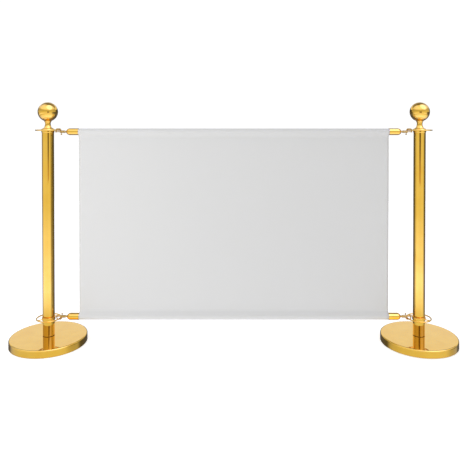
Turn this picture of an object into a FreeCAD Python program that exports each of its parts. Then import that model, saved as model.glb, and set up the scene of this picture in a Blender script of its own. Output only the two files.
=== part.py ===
"""Banner barrier: two ball-topped posts on round weighted bases, with a fabric banner hung
between them on four swivel snap hooks.

Millimetres, +Z up. The origin is on the floor, midway between the two posts. +X runs along the
banner, and the banner's front faces -Y.

A piece of a post is drawn about its own post's axis. A piece of a corner is drawn with X running
from the post's axis towards the banner, Z measured from the rod's axis, and the hook's arm up.
"""
import FreeCAD, Part
import math
import os
import Sketcher

DIMENSIONS = [
    # whole barrier
    ("post_spacing", 1540, "between the axes of the two posts"),
    ("post_height", 1000, "floor to the top of the ball"),
    # base
    ("base_diameter", 310, "outside of the turned cover"),
    ("base_height", 32, "floor to the cover's flat top"),
    ("cover_wall", 1.5, "sheet of the cover"),
    ("cover_lift", 2, "floor to the cover's lower edge"),
    ("shoulder_radius", 5, "round between the cover's top and its side"),
    ("cover_gap", 0.5, "between the iron weight and the cover's side"),
    ("weight_lift", 3, "floor to the iron weight"),
    ("recess_diameter", 92, "hollow under the weight for the bolt's head"),
    ("recess_depth", 11, "depth of that hollow"),
    ("floor_ring_inset", 5, "side of the weight to the rubber ring that stands on the floor"),
    ("floor_ring_width", 17, "radial width of the rubber ring"),
    ("floor_ring_height", 6, "thickness of the rubber ring"),
    ("groove_gap", 0.2, "play of the rubber ring in its groove"),
    # base fastening
    ("bolt_diameter", 12, "shank of the base bolt"),
    ("bolt_flats", 18, "across the flats of its hexagon head"),
    ("bolt_head", 7.5, "thickness of its head"),
    ("bolt_grip", 24, "length of its thread in the foot plug"),
    ("washer_diameter", 30, "outside of the base washer"),
    ("washer_thickness", 2.5, "thickness of the base washer"),
    ("hole_gap", 0.5, "radial clearance of a plain bolt hole"),
    ("thread_gap", 0.05, "radial clearance that stands for a thread"),
    ("gasket_inset", 2.5, "side of the post to the edge of the gasket under it"),
    ("gasket_thickness", 1.5, "thickness of that gasket"),
    # post
    ("tube_diameter", 48, "outside of the post tube"),
    ("tube_wall", 1.5, "wall of the post tube"),
    ("plug_gap", 0.05, "radial fit of the plugs in the tube"),
    ("plug_bevel", 1.5, "bevel on the plugs' inner ends"),
    ("foot_plug_length", 30, "plug at the foot of the tube"),
    ("top_plug_length", 26, "plug at the top of the tube"),
    # rings that the hooks hang on
    ("hoop_wire", 5, "wire of the hoop"),
    ("spoke_wire", 4, "wire of the four spokes"),
    ("hook_room", 18.75, "clear space between the collar and the hoop"),
    ("collar_wall", 2.7, "wall of the lower ring's collar"),
    ("collar_fit", 0.05, "radial fit of the collar on the tube"),
    ("collar_height", 12, "height of the lower ring's collar"),
    ("collar_bevel", 0.8, "bevel on the collar's edges"),
    ("lower_ring_height", 103.5, "floor to the plane of the lower hoop"),
    ("bead_height", 18, "height of the upper ring's turned bead"),
    ("bead_overhang", 1.75, "how far the bead stands out past the tube"),
    ("bead_lip", 4, "height of the bead's rounded lower edge"),
    ("bead_ring_rise", 10.5, "bead's underside to the plane of the upper hoop"),
    ("grub_diameter", 4, "grub screws in the lower collar"),
    ("grub_socket", 2, "across the flats of their sockets"),
    ("grub_socket_depth", 1.4, "depth of their sockets"),
    # finial
    ("ball_diameter", 80, "ball on top of the post"),
    ("ball_wall", 1.5, "shell of the ball"),
    ("ball_boss", 18, "threaded boss inside the ball"),
    ("ball_boss_height", 18, "bottom of the ball to the top of the boss"),
    ("ball_seat_gap", 0.1, "between the ball and the neck's cup"),
    ("neck_height", 28, "top of the bead to the bottom of the ball"),
    ("neck_base", 38, "foot of the neck"),
    ("neck_foot_lip", 1.5, "height of the neck's upright foot edge"),
    ("neck_waist", 22, "narrowest part of the neck"),
    ("neck_waist_drop", 9, "bottom of the ball to the waist"),
    ("neck_cup", 29, "cup under the ball"),
    ("neck_flare_radius", 30, "hollow curve below the waist"),
    ("neck_cup_radius", 16, "hollow curve above the waist"),
    ("stud_diameter", 10, "stud that joins the ball, neck and ring to the tube"),
    ("stud_grip", 20, "length of its thread in the top plug"),
    ("stud_reach", 15, "length of its thread in the ball"),
    # snap hooks
    ("hook_drop", 6.5, "plane of a hoop to the axis of its rod"),
    ("heel_gap", 0.5, "hoop to the front face of the hook's barrel"),
    ("loop_length", 15, "clear length inside the hook's loop"),
    ("arm_wire", 4.5, "round bar that the hook's arm is bent from"),
    ("arm_gap", 0.5, "hoop to the underside of the arm"),
    ("arm_bend", 5, "bend radius of the arm's centre line"),
    ("nose_length", 5, "nose that the latch closes on"),
    ("nose_wall", 1.1, "wall of the nose round the latch's tip"),
    ("nose_socket", 2, "depth of the socket in the nose"),
    ("barrel_wall", 1.8, "wall of the hook's barrel"),
    ("barrel_length", 22, "length of the barrel"),
    ("barrel_front", 2.5, "wall at the barrel's front"),
    ("barrel_back", 1, "wall behind the spring"),
    ("barrel_taper", 3.5, "length of the cone at the barrel's back"),
    ("chamber_diameter", 7.4, "spring chamber in the barrel"),
    ("swivel_step", 0.6, "shoulder of the neck on the swivel stem"),
    ("hook_neck_length", 3.7, "length of that neck"),
    ("swivel_diameter", 6, "swivel stem"),
    ("swivel_spare", 1.4, "thread past the swivel nut"),
    ("swivel_gap", 0.3, "end play of the swivel"),
    ("swivel_fit", 0.06, "radial running clearance of the swivel"),
    ("nut_flats", 10, "across the flats of the swivel nut"),
    ("nut_thickness", 4.5, "thickness of the swivel nut"),
    # sliding latch in each hook
    ("latch_diameter", 4, "sliding latch bolt"),
    ("latch_fit", 0.07, "radial running clearance of the latch"),
    ("latch_seat", 0.4, "end play of the closed latch"),
    ("latch_travel", 8, "how far the latch draws back"),
    ("latch_collar", 4, "length of the latch's collar"),
    ("knob_pin", 3, "pin of the thumb knob"),
    ("knob_fit", 0.02, "press clearance of that pin in the latch"),
    ("knob_slot_gap", 0.2, "pin to the side of its slot"),
    ("knob_pin_depth", 2.6, "pin below the surface of the latch's collar"),
    ("knob_reach", 13.5, "rod axis to the end of the knob"),
    ("knob_diameter", 6, "head of the knob"),
    ("knob_head", 3.5, "thickness of the knob's head"),
    ("spring_wire", 0.7, "wire of the latch spring"),
    ("spring_turns", 5, "turns of the latch spring"),
    ("spring_gap", 0.25, "spring to the chamber, at its side and ends"),
    # rods and caps
    ("rod_diameter", 25, "rods in the banner's pockets"),
    ("rod_wall", 1.5, "wall of the rods"),
    ("rod_fit", 0.05, "radial fit of a rod in its cap"),
    ("rod_seat_gap", 0.2, "end of a rod to the bottom of its cap"),
    ("cap_wall", 1.45, "wall of an end cap round its rod"),
    ("cap_socket", 30, "depth of rod inside a cap"),
    ("cap_nose_radius", 16, "round of the cap's nose"),
    ("cap_nose_rim", 0.9, "flat face on the cap's nose outside the hook's neck"),
    ("cap_front", 7, "wall behind that face"),
    ("nut_room", 0.7, "corner of the swivel nut to the wall of its cavity"),
    ("cap_room", 7.1, "end of the swivel stem to the bottom of the rod's socket"),
    ("cap_mouth_bevel", 0.6, "bevel at the cap's mouth"),
    # banner
    ("banner_gap", 1, "cap to the banner's edge"),
    ("cloth_thickness", 0.6, "banner cloth"),
    ("pocket_gap", 0.15, "rod to the cloth of its pocket"),
    ("seam_gap", 9.35, "underside of the rod to the seam that closes a pocket"),
]

DERIVED = [
    ("half_spacing", "dims.post_spacing / 2"),
    # base, from the floor up
    ("base_radius", "dims.base_diameter / 2"),
    ("cover_inside", "places.base_radius - dims.cover_wall"),
    ("cover_under", "dims.base_height - dims.cover_wall"),
    ("weight_radius", "places.cover_inside - dims.cover_gap"),
    ("floor_ring_outside", "places.weight_radius - dims.floor_ring_inset"),
    ("floor_ring_inside", "places.floor_ring_outside - dims.floor_ring_width"),
    ("recess_top", "dims.weight_lift + dims.recess_depth"),
    ("washer_under", "places.recess_top - dims.washer_thickness"),
    ("bolt_hole", "dims.bolt_diameter / 2 + dims.hole_gap"),
    ("post_foot", "dims.base_height + dims.gasket_thickness"),
    # post and finial, from the top of the ball down
    ("tube_radius", "dims.tube_diameter / 2"),
    ("tube_inside", "places.tube_radius - dims.tube_wall"),
    ("plug_radius", "places.tube_inside - dims.plug_gap"),
    ("ball_radius", "dims.ball_diameter / 2"),
    ("ball_centre", "dims.post_height - places.ball_radius"),
    ("ball_bottom", "places.ball_centre - places.ball_radius"),
    ("bead_top", "places.ball_bottom - dims.neck_height"),
    ("tube_top", "places.bead_top - dims.bead_height"),
    ("stud_hole", "dims.stud_diameter / 2 + dims.thread_gap"),
    # rings
    ("collar_bore", "places.tube_radius + dims.collar_fit"),
    ("collar_radius", "places.collar_bore + dims.collar_wall"),
    ("bead_radius", "places.tube_radius + dims.bead_overhang"),
    ("hoop_radius", "places.collar_radius + dims.hook_room + dims.hoop_wire / 2"),
    ("upper_ring_height", "places.tube_top + dims.bead_ring_rise"),
    ("upper_rod_height", "places.upper_ring_height - dims.hook_drop"),
    ("lower_rod_height", "dims.lower_ring_height + dims.hook_drop"),
    # hook, from the post's axis towards the banner
    ("arm_radius", "dims.arm_wire / 2"),
    ("arm_axis", "dims.hook_drop + dims.hoop_wire / 2 + dims.arm_gap + places.arm_radius"),
    ("barrel_face", "places.hoop_radius + dims.hoop_wire / 2 + dims.heel_gap"),
    ("nose_face", "places.barrel_face - dims.loop_length"),
    ("nose_tip", "places.nose_face - dims.nose_length"),
    ("barrel_end", "places.barrel_face + dims.barrel_length"),
    ("chamber_start", "places.barrel_face + dims.barrel_front"),
    ("chamber_end", "places.barrel_end - dims.barrel_back"),
    ("swivel_shoulder", "places.barrel_end + dims.hook_neck_length"),
    ("swivel_radius", "dims.swivel_diameter / 2"),
    ("hook_neck_radius", "places.swivel_radius + dims.swivel_step"),
    ("barrel_radius", "dims.chamber_diameter / 2 + dims.barrel_wall"),
    # cap, rod and banner edge, going on from the hook
    ("cap_face", "places.swivel_shoulder + dims.swivel_gap"),
    ("nut_face", "places.cap_face + dims.cap_front + dims.swivel_gap"),
    ("swivel_end", "places.nut_face + dims.nut_thickness + dims.swivel_spare"),
    ("nut_cavity", "dims.nut_flats / sqrt(3) + dims.nut_room"),
    ("cap_seat", "places.swivel_end + dims.cap_room"),
    ("cap_end", "places.cap_seat + dims.cap_socket"),
    ("rod_radius", "dims.rod_diameter / 2"),
    ("cap_bore", "places.rod_radius + dims.rod_fit"),
    ("cap_radius", "places.cap_bore + dims.cap_wall"),
    ("rod_end", "places.cap_seat + dims.rod_seat_gap"),
    ("rod_length", "dims.post_spacing - 2 * places.rod_end"),
    ("banner_edge", "places.cap_end + dims.banner_gap"),
    ("banner_width", "dims.post_spacing - 2 * places.banner_edge"),
    # latch
    ("latch_radius", "dims.latch_diameter / 2"),
    ("latch_bore", "places.latch_radius + dims.latch_fit"),
    ("latch_tip", "places.nose_face - dims.nose_socket + dims.latch_seat"),
    ("collar_front", "places.chamber_start + dims.latch_seat"),
    ("collar_back", "places.collar_front + dims.latch_collar"),
    ("collar_outside", "dims.chamber_diameter / 2 - dims.latch_fit"),
    ("knob_axis", "places.collar_front + dims.latch_collar / 2"),
    ("knob_root", "places.collar_outside - dims.knob_pin_depth"),
    # pockets in the banner
    ("pocket_inside", "places.rod_radius + dims.pocket_gap"),
    ("pocket_outside", "places.pocket_inside + dims.cloth_thickness"),
    ("seam_drop", "places.pocket_inside + dims.seam_gap"),
    ("pocket_cos", "places.pocket_inside / places.seam_drop"),
    ("pocket_sin", "sqrt(1 - places.pocket_cos ^ 2)"),
]

ALONG_X = FreeCAD.Rotation(FreeCAD.Vector(0, 1, 0), 90)
SPOKE_ANGLE = 45

doc = FreeCAD.newDocument("BannerBarrier")
dims = doc.addObject("Spreadsheet::Sheet", "dims")
places = doc.addObject("App::VarSet", "places")
pieces = []


def fill_dimensions():
    """Write the driving sizes into the sheet, then the places that follow from them."""
    for row, (name, value, meaning) in enumerate(DIMENSIONS, start=1):
        dims.set(f"A{row}", name)
        dims.set(f"B{row}", str(value))
        dims.set(f"C{row}", meaning)
        dims.setAlias(f"B{row}", name)
    doc.recompute()
    for name, expression in DERIVED:
        places.addProperty("App::PropertyFloat", name)
        places.setExpression(name, expression)
    doc.recompute()


def number(expression):
    """The value that an expression has now, to draw a sketch close to its constraints."""
    return float(places.evalExpression(expression))


def put(piece, label, x="0", z="0", rotation=FreeCAD.Rotation()):
    """Name a finished piece and bind its place."""
    piece.Label = label
    piece.Placement = FreeCAD.Placement(FreeCAD.Vector(number(x), 0, number(z)), rotation)
    piece.setExpression("Placement.Base.x", x)
    piece.setExpression("Placement.Base.z", z)
    pieces.append(piece)


def bind(feature, **expressions):
    """Bind a feature's sizes to expressions."""
    for name, expression in expressions.items():
        feature.setExpression(name, expression)
    return feature


# --- sketches -------------------------------------------------------------------------------


def sketch_on(body, role, name, turn=0, lift=None):
    """A sketch on one of the body's own planes, turned about the plane's upright axis."""
    plane = next(o for o in body.Origin.OriginFeatures if o.Role == role)
    sketch = body.newObject("Sketcher::SketchObject", name)
    sketch.AttachmentSupport = [(plane, "")]
    sketch.MapMode = "FlatFace"
    upright = FreeCAD.Rotation(FreeCAD.Vector(0, 1, 0), turn)
    sketch.AttachmentOffset = FreeCAD.Placement(FreeCAD.Vector(), upright)
    if lift:
        sketch.setExpression("AttachmentOffset.Base.z", lift)
    return sketch


def hold_point(sketch, edge, end, x, y, name):
    """Fix one point of a sketch by expressions for its two coordinates."""
    for kind, axis, expression in (("DistanceX", "x", x), ("DistanceY", "y", y)):
        value = number(expression)
        index = sketch.addConstraint(Sketcher.Constraint(kind, -1, 1, edge, end, value))
        sketch.renameConstraint(index, axis + name)
        sketch.setExpression(f"Constraints.{axis}{name}", expression)


def hold_radius(sketch, edge, radius, name):
    """Fix the radius of an arc or circle by an expression."""
    index = sketch.addConstraint(Sketcher.Constraint("Radius", edge, number(radius)))
    sketch.renameConstraint(index, "r" + name)
    sketch.setExpression(f"Constraints.r{name}", radius)


def arc_between(start, end, radius, centre_side):
    """The shorter arc from start to end, with its centre on the left or right of the way."""
    way = end - start
    left = FreeCAD.Vector(-way.y, way.x, 0).normalize()
    towards = left if centre_side == "left" else left.negative()
    middle = (start + end) * 0.5
    drop = math.sqrt(max(radius ** 2 - (way.Length / 2) ** 2, 0))
    crown = middle + towards * (drop - radius)
    return Part.Arc(start, crown, end)


def end_at(sketch, edge, point):
    """Which end of an edge, 1 or 2, lies at a point."""
    return min((1, 2), key=lambda end: sketch.getPoint(edge, end).distanceToPoint(point))


def draw_outline(sketch, corners, closed=True, tag=""):
    """Draw a line of edges through corners. A corner is (x, y), or (x, y, radius, side) when
    the edge that arrives there is an arc with its centre on that side."""
    points = [FreeCAD.Vector(number(c[0]), number(c[1]), 0) for c in corners]
    count = len(corners) if closed else len(corners) - 1
    first = sketch.GeometryCount
    ends = []
    for i in range(count):
        start, end = points[i], points[(i + 1) % len(points)]
        arrives = corners[(i + 1) % len(corners)]
        if len(arrives) == 4:
            shape = arc_between(start, end, number(arrives[2]), arrives[3])
        else:
            shape = Part.LineSegment(start, end)
        edge = sketch.addGeometry(shape, False)
        ends.append((end_at(sketch, edge, start), end_at(sketch, edge, end)))
        if len(arrives) == 4:
            hold_radius(sketch, edge, arrives[2], f"{tag}{i}")
    for i in range(count):
        hold_point(sketch, first + i, ends[i][0], corners[i][0], corners[i][1], f"{tag}{i}")
        if closed or i + 1 < count:
            after = (i + 1) % count
            pair = (first + i, ends[i][1], first + after, ends[after][0])
            sketch.addConstraint(Sketcher.Constraint("Coincident", *pair))
    if not closed:
        last = corners[-1]
        hold_point(sketch, first + count - 1, ends[-1][1], last[0], last[1], f"{tag}{count}")


def draw_circle(sketch, x, y, radius, tag=""):
    """Draw one circle."""
    centre = FreeCAD.Vector(number(x), number(y), 0)
    edge = sketch.addGeometry(Part.Circle(centre, FreeCAD.Vector(0, 0, 1), number(radius)), False)
    hold_point(sketch, edge, 3, x, y, "c" + tag)
    hold_radius(sketch, edge, radius, "c" + tag)


# --- features -------------------------------------------------------------------------------


def new_body(name):
    return doc.addObject("PartDesign::Body", name)


def turn(body, name, corners, about="V_Axis", cut=False, angle=0, plane="XZ_Plane"):
    """Turn an outline about the upright or level axis of its plane. A cut has to take something
    away. The turned face starts and ends in the outline's plane, so that plane is kept clear of
    whatever else meets the face."""
    before = body.Shape.Volume if cut else 0
    sketch = sketch_on(body, plane, name + "_outline", angle)
    draw_outline(sketch, corners)
    feature = body.newObject("PartDesign::Groove" if cut else "PartDesign::Revolution", name)
    feature.Profile = sketch
    feature.ReferenceAxis = (sketch, [about])
    feature.Angle = 360
    doc.recompute()
    if cut and body.Shape.Volume >= before:
        raise RuntimeError(f"{body.Label}: {name} cuts nothing")
    return feature


def block(low_x, high_x, low_y, high_y):
    """The four corners of an upright rectangle."""
    return [(low_x, low_y), (high_x, low_y), (high_x, high_y), (low_x, high_y)]


def cylinder(name, radius, height, z="0"):
    feature = doc.addObject("Part::Cylinder", name)
    bind(feature, Radius=radius, Height=height)
    return bind(feature, **{"Placement.Base.z": z})


def hexagon(name, flats, height, z="0"):
    feature = doc.addObject("Part::Prism", name)
    feature.Polygon = 6
    bind(feature, Circumradius=f"{flats} / sqrt(3)", Height=height)
    return bind(feature, **{"Placement.Base.z": z})


def cut(name, base, tool):
    feature = doc.addObject("Part::Cut", name)
    feature.Base = base
    feature.Tool = tool
    return feature


# --- base -----------------------------------------------------------------------------------


def base_weight(side, x):
    """Cast-iron disc with a hollow for the bolt's head and a groove for the rubber ring."""
    outer = "places.floor_ring_outside + dims.groove_gap"
    inner = "places.floor_ring_inside - dims.groove_gap"
    bevel = "dims.shoulder_radius"
    corners = [
        ("places.bolt_hole", "places.recess_top"),
        ("dims.recess_diameter / 2", "places.recess_top"),
        ("dims.recess_diameter / 2", "dims.weight_lift"),
        (inner, "dims.weight_lift"),
        (inner, "dims.floor_ring_height"),
        (outer, "dims.floor_ring_height"),
        (outer, "dims.weight_lift"),
        ("places.weight_radius", "dims.weight_lift"),
        ("places.weight_radius", f"places.cover_under - {bevel}"),
        (f"places.weight_radius - {bevel}", "places.cover_under"),
        ("places.bolt_hole", "places.cover_under"),
    ]
    body = new_body(f"{side}_weight")
    turn(body, "disc", corners)
    put(body, f"{side}_base_weight", x)


def base_cover(side, x):
    """Thin turned cover over the weight, with a rounded shoulder."""
    inner_round = "dims.shoulder_radius - dims.cover_wall"
    corners = [
        ("places.bolt_hole", "places.cover_under"),
        (f"places.cover_inside - ({inner_round})", "places.cover_under"),
        ("places.cover_inside", f"places.cover_under - ({inner_round})", inner_round, "right"),
        ("places.cover_inside", "dims.cover_lift"),
        ("places.base_radius", "dims.cover_lift"),
        ("places.base_radius", "dims.base_height - dims.shoulder_radius"),
        ("places.base_radius - dims.shoulder_radius", "dims.base_height", "dims.shoulder_radius", "left"),
        ("places.bolt_hole", "dims.base_height"),
    ]
    body = new_body(f"{side}_cover")
    turn(body, "shell", corners)
    put(body, f"{side}_base_cover", x)


def floor_ring(side, x):
    """Rubber ring that the base stands on."""
    body = new_body(f"{side}_rubber")
    turn(body, "ring", block("places.floor_ring_inside", "places.floor_ring_outside", "0",
                             "dims.floor_ring_height"))
    put(body, f"{side}_floor_ring", x)


def base_bolt(side, x):
    """Hexagon bolt from under the weight up into the foot plug."""
    head = hexagon(f"{side}_bolt_head", "dims.bolt_flats", "dims.bolt_head", "-dims.bolt_head")
    length = "places.post_foot - places.washer_under + dims.bolt_grip"
    shank = cylinder(f"{side}_bolt_shank", "dims.bolt_diameter / 2", length)
    bolt = doc.addObject("Part::Fuse", f"{side}_bolt")
    bolt.Base = head
    bolt.Tool = shank
    put(bolt, f"{side}_base_bolt", x, "places.washer_under")


def base_washer(side, x):
    """Washer between the bolt's head and the weight."""
    body = new_body(f"{side}_washer")
    outer = "dims.washer_diameter / 2"
    turn(body, "disc", block("places.bolt_hole", outer, "places.washer_under", "places.recess_top"))
    put(body, f"{side}_base_washer", x)


def foot_gasket(side, x):
    """Thin dark gasket between the cover and the foot of the post."""
    body = new_body(f"{side}_gasket")
    outer = "places.tube_radius - dims.gasket_inset"
    turn(body, "disc", block("places.bolt_hole", outer, "dims.base_height", "places.post_foot"))
    put(body, f"{side}_foot_gasket", x)


# --- post -----------------------------------------------------------------------------------


def plug(side, label, x, start, way, length, bore):
    """Plug fixed in an end of the tube, bored for a thread and bevelled on its inner end."""
    end = f"{start} {way} {length}"
    corners = [
        (bore, start),
        ("places.plug_radius", start),
        ("places.plug_radius", f"{end} - ({way}1) * dims.plug_bevel"),
        ("places.plug_radius - dims.plug_bevel", end),
        (bore, end),
    ]
    body = new_body(f"{side}_{label}_body")
    turn(body, "plug", corners)
    put(body, f"{side}_{label}", x)


def post_tube(side, x):
    """Straight tube of the post."""
    body = new_body(f"{side}_tube")
    turn(body, "wall", block("places.tube_inside", "places.tube_radius", "places.post_foot",
                             "places.tube_top"))
    put(body, f"{side}_post_tube", x)


def add_hoop(body, inner_end):
    """Hoop of round wire on four spokes, at the height of the body's origin. The spokes start
    inside the collar, at inner_end from the axis."""
    hoop_sketch = sketch_on(body, "XZ_Plane", "hoop_section")
    draw_circle(hoop_sketch, "places.hoop_radius", "0", "dims.hoop_wire / 2")
    hoop = body.newObject("PartDesign::Revolution", "hoop")
    hoop.Profile = hoop_sketch
    hoop.ReferenceAxis = (hoop_sketch, ["V_Axis"])
    hoop.Angle = 360
    outline = block(inner_end, "places.hoop_radius", "0", "dims.spoke_wire / 2")
    spoke = turn(body, "spoke", outline, "H_Axis", angle=SPOKE_ANGLE)
    spokes = body.newObject("PartDesign::PolarPattern", "spokes")
    spokes.Originals = [spoke]
    spokes.Axis = (hoop_sketch, ["V_Axis"])
    spokes.Angle = 360
    spokes.Occurrences = 4
    body.Tip = spokes
    doc.recompute()


def lower_ring(side, x, screw_angles):
    """Ring with a collar that grub screws clamp on the tube."""
    top = "dims.collar_height / 2"
    bevel = "dims.collar_bevel"
    corners = [
        ("places.collar_bore", f"-{top}"),
        (f"places.collar_radius - {bevel}", f"-{top}"),
        ("places.collar_radius", f"-{top} + {bevel}"),
        ("places.collar_radius", f"{top} - {bevel}"),
        (f"places.collar_radius - {bevel}", top),
        ("places.collar_bore", top),
    ]
    body = new_body(f"{side}_low_ring")
    turn(body, "collar", corners, angle=SPOKE_ANGLE / 2)
    add_hoop(body, "places.collar_bore + dims.collar_wall / 2")
    hole = block("places.tube_radius", "places.hoop_radius - dims.hoop_wire", "0",
                 "dims.grub_diameter / 2 + dims.thread_gap")
    for angle in screw_angles:
        turn(body, f"screw_hole_{angle}", hole, "H_Axis", cut=True, angle=angle)
    put(body, f"{side}_lower_ring", x, "dims.lower_ring_height")


def lower_ring_screws(side, x, screw_angles):
    """Socket grub screws in the lower collar, level with its outside."""
    screws = []
    for angle in screw_angles:
        name = f"{side}_grub_{angle}"
        length = "places.collar_radius - places.tube_radius"
        shank = cylinder(name + "_shank", "dims.grub_diameter / 2", length)
        socket = hexagon(name + "_socket", "dims.grub_socket", "dims.grub_socket_depth * 2",
                         f"{length} - dims.grub_socket_depth")
        screw = cut(name, shank, socket)
        facing = FreeCAD.Rotation(FreeCAD.Vector(0, 0, 1), angle)
        screw.Placement = FreeCAD.Placement(FreeCAD.Vector(), facing * ALONG_X)
        direction = math.radians(angle)
        screw.setExpression("Placement.Base.x", f"places.tube_radius * {round(math.cos(direction))}")
        screw.setExpression("Placement.Base.y", f"places.tube_radius * {round(math.sin(direction))}")
        screws.append(screw)
    group = doc.addObject("Part::Compound", f"{side}_grubs")
    group.Links = screws
    put(group, f"{side}_lower_ring_screws", x, "dims.lower_ring_height")


def upper_ring(side, x):
    """Ring with a turned bead that is clamped between the tube and the finial."""
    bottom = "-dims.bead_ring_rise"
    top = "dims.bead_height - dims.bead_ring_rise"
    lip = "dims.bead_lip"
    corners = [
        ("places.stud_hole", bottom),
        ("places.tube_radius", bottom),
        ("places.bead_radius", f"{bottom} + {lip}", f"{lip} * 3", "left"),
        ("places.bead_radius", f"{top} - {lip} * 2"),
        ("dims.neck_base / 2 + 1", top, f"{lip} * 3", "left"),
        ("places.stud_hole", top),
    ]
    body = new_body(f"{side}_high_ring")
    turn(body, "bead", corners)
    add_hoop(body, "places.tube_radius - dims.hoop_wire")
    put(body, f"{side}_upper_ring", x, "places.upper_ring_height")


# --- finial ---------------------------------------------------------------------------------


def on_ball(radius, across):
    """Height of a sphere about the ball's centre, on its lower side, at a distance out."""
    return f"places.ball_centre - sqrt(({radius}) ^ 2 - ({across}) ^ 2)"


def finial_neck(side, x):
    """Waisted neck that carries the ball in a cup."""
    seat = "places.ball_radius + dims.ball_seat_gap"
    waist_height = "places.ball_bottom - dims.neck_waist_drop"
    corners = [
        ("places.stud_hole", "places.bead_top"),
        ("dims.neck_base / 2", "places.bead_top"),
        ("dims.neck_base / 2", "places.bead_top + dims.neck_foot_lip"),
        ("dims.neck_waist / 2", waist_height, "dims.neck_flare_radius", "right"),
        ("dims.neck_cup / 2", on_ball(seat, "dims.neck_cup / 2"), "dims.neck_cup_radius", "right"),
        ("places.stud_hole", on_ball(seat, "places.stud_hole"), seat, "right"),
    ]
    body = new_body(f"{side}_neck")
    turn(body, "neck", corners)
    put(body, f"{side}_finial_neck", x)


def finial_ball(side, x):
    """Hollow ball with a threaded boss inside its foot."""
    inside = "places.ball_radius - dims.ball_wall"
    boss_top = "places.ball_bottom + dims.ball_boss_height"
    corners = [
        ("places.stud_hole", on_ball("places.ball_radius", "places.stud_hole")),
        ("places.ball_radius", "places.ball_centre", "places.ball_radius", "left"),
        ("0", "dims.post_height", "places.ball_radius", "left"),
        ("0", "dims.post_height - dims.ball_wall"),
        (inside, "places.ball_centre", inside, "right"),
        ("dims.ball_boss / 2", on_ball(inside, "dims.ball_boss / 2"), inside, "right"),
        ("dims.ball_boss / 2", boss_top),
        ("places.stud_hole", boss_top),
    ]
    body = new_body(f"{side}_ball")
    turn(body, "ball", corners)
    put(body, f"{side}_finial_ball", x)


def finial_stud(side, x):
    """Threaded stud from the top plug through the ring and the neck into the ball."""
    body = new_body(f"{side}_stud")
    turn(body, "stud", block("0", "dims.stud_diameter / 2", "places.tube_top - dims.stud_grip",
                             "places.ball_bottom + dims.stud_reach"))
    put(body, f"{side}_finial_stud", x)


def post(side, x, screw_angles):
    """Every piece of one post."""
    thread = "dims.bolt_diameter / 2 + dims.thread_gap"
    base_weight(side, x)
    base_cover(side, x)
    floor_ring(side, x)
    base_bolt(side, x)
    base_washer(side, x)
    foot_gasket(side, x)
    plug(side, "foot_plug", x, "places.post_foot", "+", "dims.foot_plug_length", thread)
    plug(side, "top_plug", x, "places.tube_top", "-", "dims.top_plug_length", "places.stud_hole")
    post_tube(side, x)
    lower_ring(side, x, screw_angles)
    lower_ring_screws(side, x, screw_angles)
    upper_ring(side, x)
    finial_neck(side, x)
    finial_ball(side, x)
    finial_stud(side, x)


# --- hook, latch and cap at each corner -----------------------------------------------------


def add_arm(body):
    """Bent round bar from the nose, over the hoop and down into the barrel."""
    nose = "places.nose_face - places.arm_radius"
    heel = "places.barrel_face + places.arm_radius"
    below = "places.arm_axis - dims.arm_bend"
    way = [
        (nose, "0"),
        (nose, below),
        (f"{nose} + dims.arm_bend", "places.arm_axis", "dims.arm_bend", "right"),
        (f"{heel} - dims.arm_bend", "places.arm_axis"),
        (heel, below, "dims.arm_bend", "right"),
        (heel, "0"),
    ]
    spine = sketch_on(body, "XZ_Plane", "arm_way")
    draw_outline(spine, way, closed=False)
    section = sketch_on(body, "XY_Plane", "arm_section")
    draw_circle(section, nose, "0", "places.arm_radius")
    arm = body.newObject("PartDesign::AdditivePipe", "arm")
    arm.Profile = section
    arm.Spine = (spine, [f"Edge{i + 1}" for i in range(len(way) - 1)])
    doc.recompute()


def cut_knob_slot(body):
    """Slot along the barrel, on the side away from the arm, for the knob's pin."""
    half = "dims.knob_pin / 2 + dims.knob_slot_gap"
    far = f"places.knob_axis + dims.latch_travel + {half}"
    before = body.Shape.Volume
    sketch = sketch_on(body, "XY_Plane", "slot_outline")
    draw_outline(sketch, block(f"places.knob_axis - ({half})", far, f"-({half})", half))
    slot = body.newObject("PartDesign::Pocket", "slot")
    slot.Profile = sketch
    slot.setExpression("Length", "places.barrel_radius * 2")
    doc.recompute()
    if body.Shape.Volume >= before:
        raise RuntimeError(f"{body.Label}: the slot cuts nothing")


def hook(corner, x, z, rotation):
    """Snap hook: barrel and swivel stem in one, with a bent arm that ends in a nose."""
    outside = "places.barrel_radius"
    neck = "places.hook_neck_radius"
    barrel = [
        ("places.barrel_face", "0"),
        ("places.barrel_face", outside),
        ("places.barrel_end - dims.barrel_taper", outside),
        ("places.barrel_end", neck),
        ("places.swivel_shoulder", neck),
        ("places.swivel_shoulder", "places.swivel_radius"),
        ("places.swivel_end", "places.swivel_radius"),
        ("places.swivel_end", "0"),
    ]
    nose = block("places.nose_tip", "places.nose_face", "0", "places.latch_bore + dims.nose_wall")
    socket = block("places.nose_face - dims.nose_socket", "places.barrel_face", "0", "places.latch_bore")
    front_bore = block("places.barrel_face", "places.chamber_start", "0", "places.latch_bore")
    chamber = block("places.chamber_start", "places.chamber_end", "0", "dims.chamber_diameter / 2")
    body = new_body(f"{corner}_hook_body")
    turn(body, "barrel", barrel, "H_Axis", plane="XY_Plane")
    add_arm(body)
    turn(body, "nose", nose, "H_Axis", plane="XY_Plane")
    turn(body, "socket", socket, "H_Axis", cut=True, plane="XY_Plane")
    turn(body, "front_bore", front_bore, "H_Axis", cut=True, plane="XY_Plane")
    turn(body, "chamber", chamber, "H_Axis", cut=True, plane="XY_Plane")
    cut_knob_slot(body)
    put(body, f"{corner}_hook", x, z, rotation)


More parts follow.
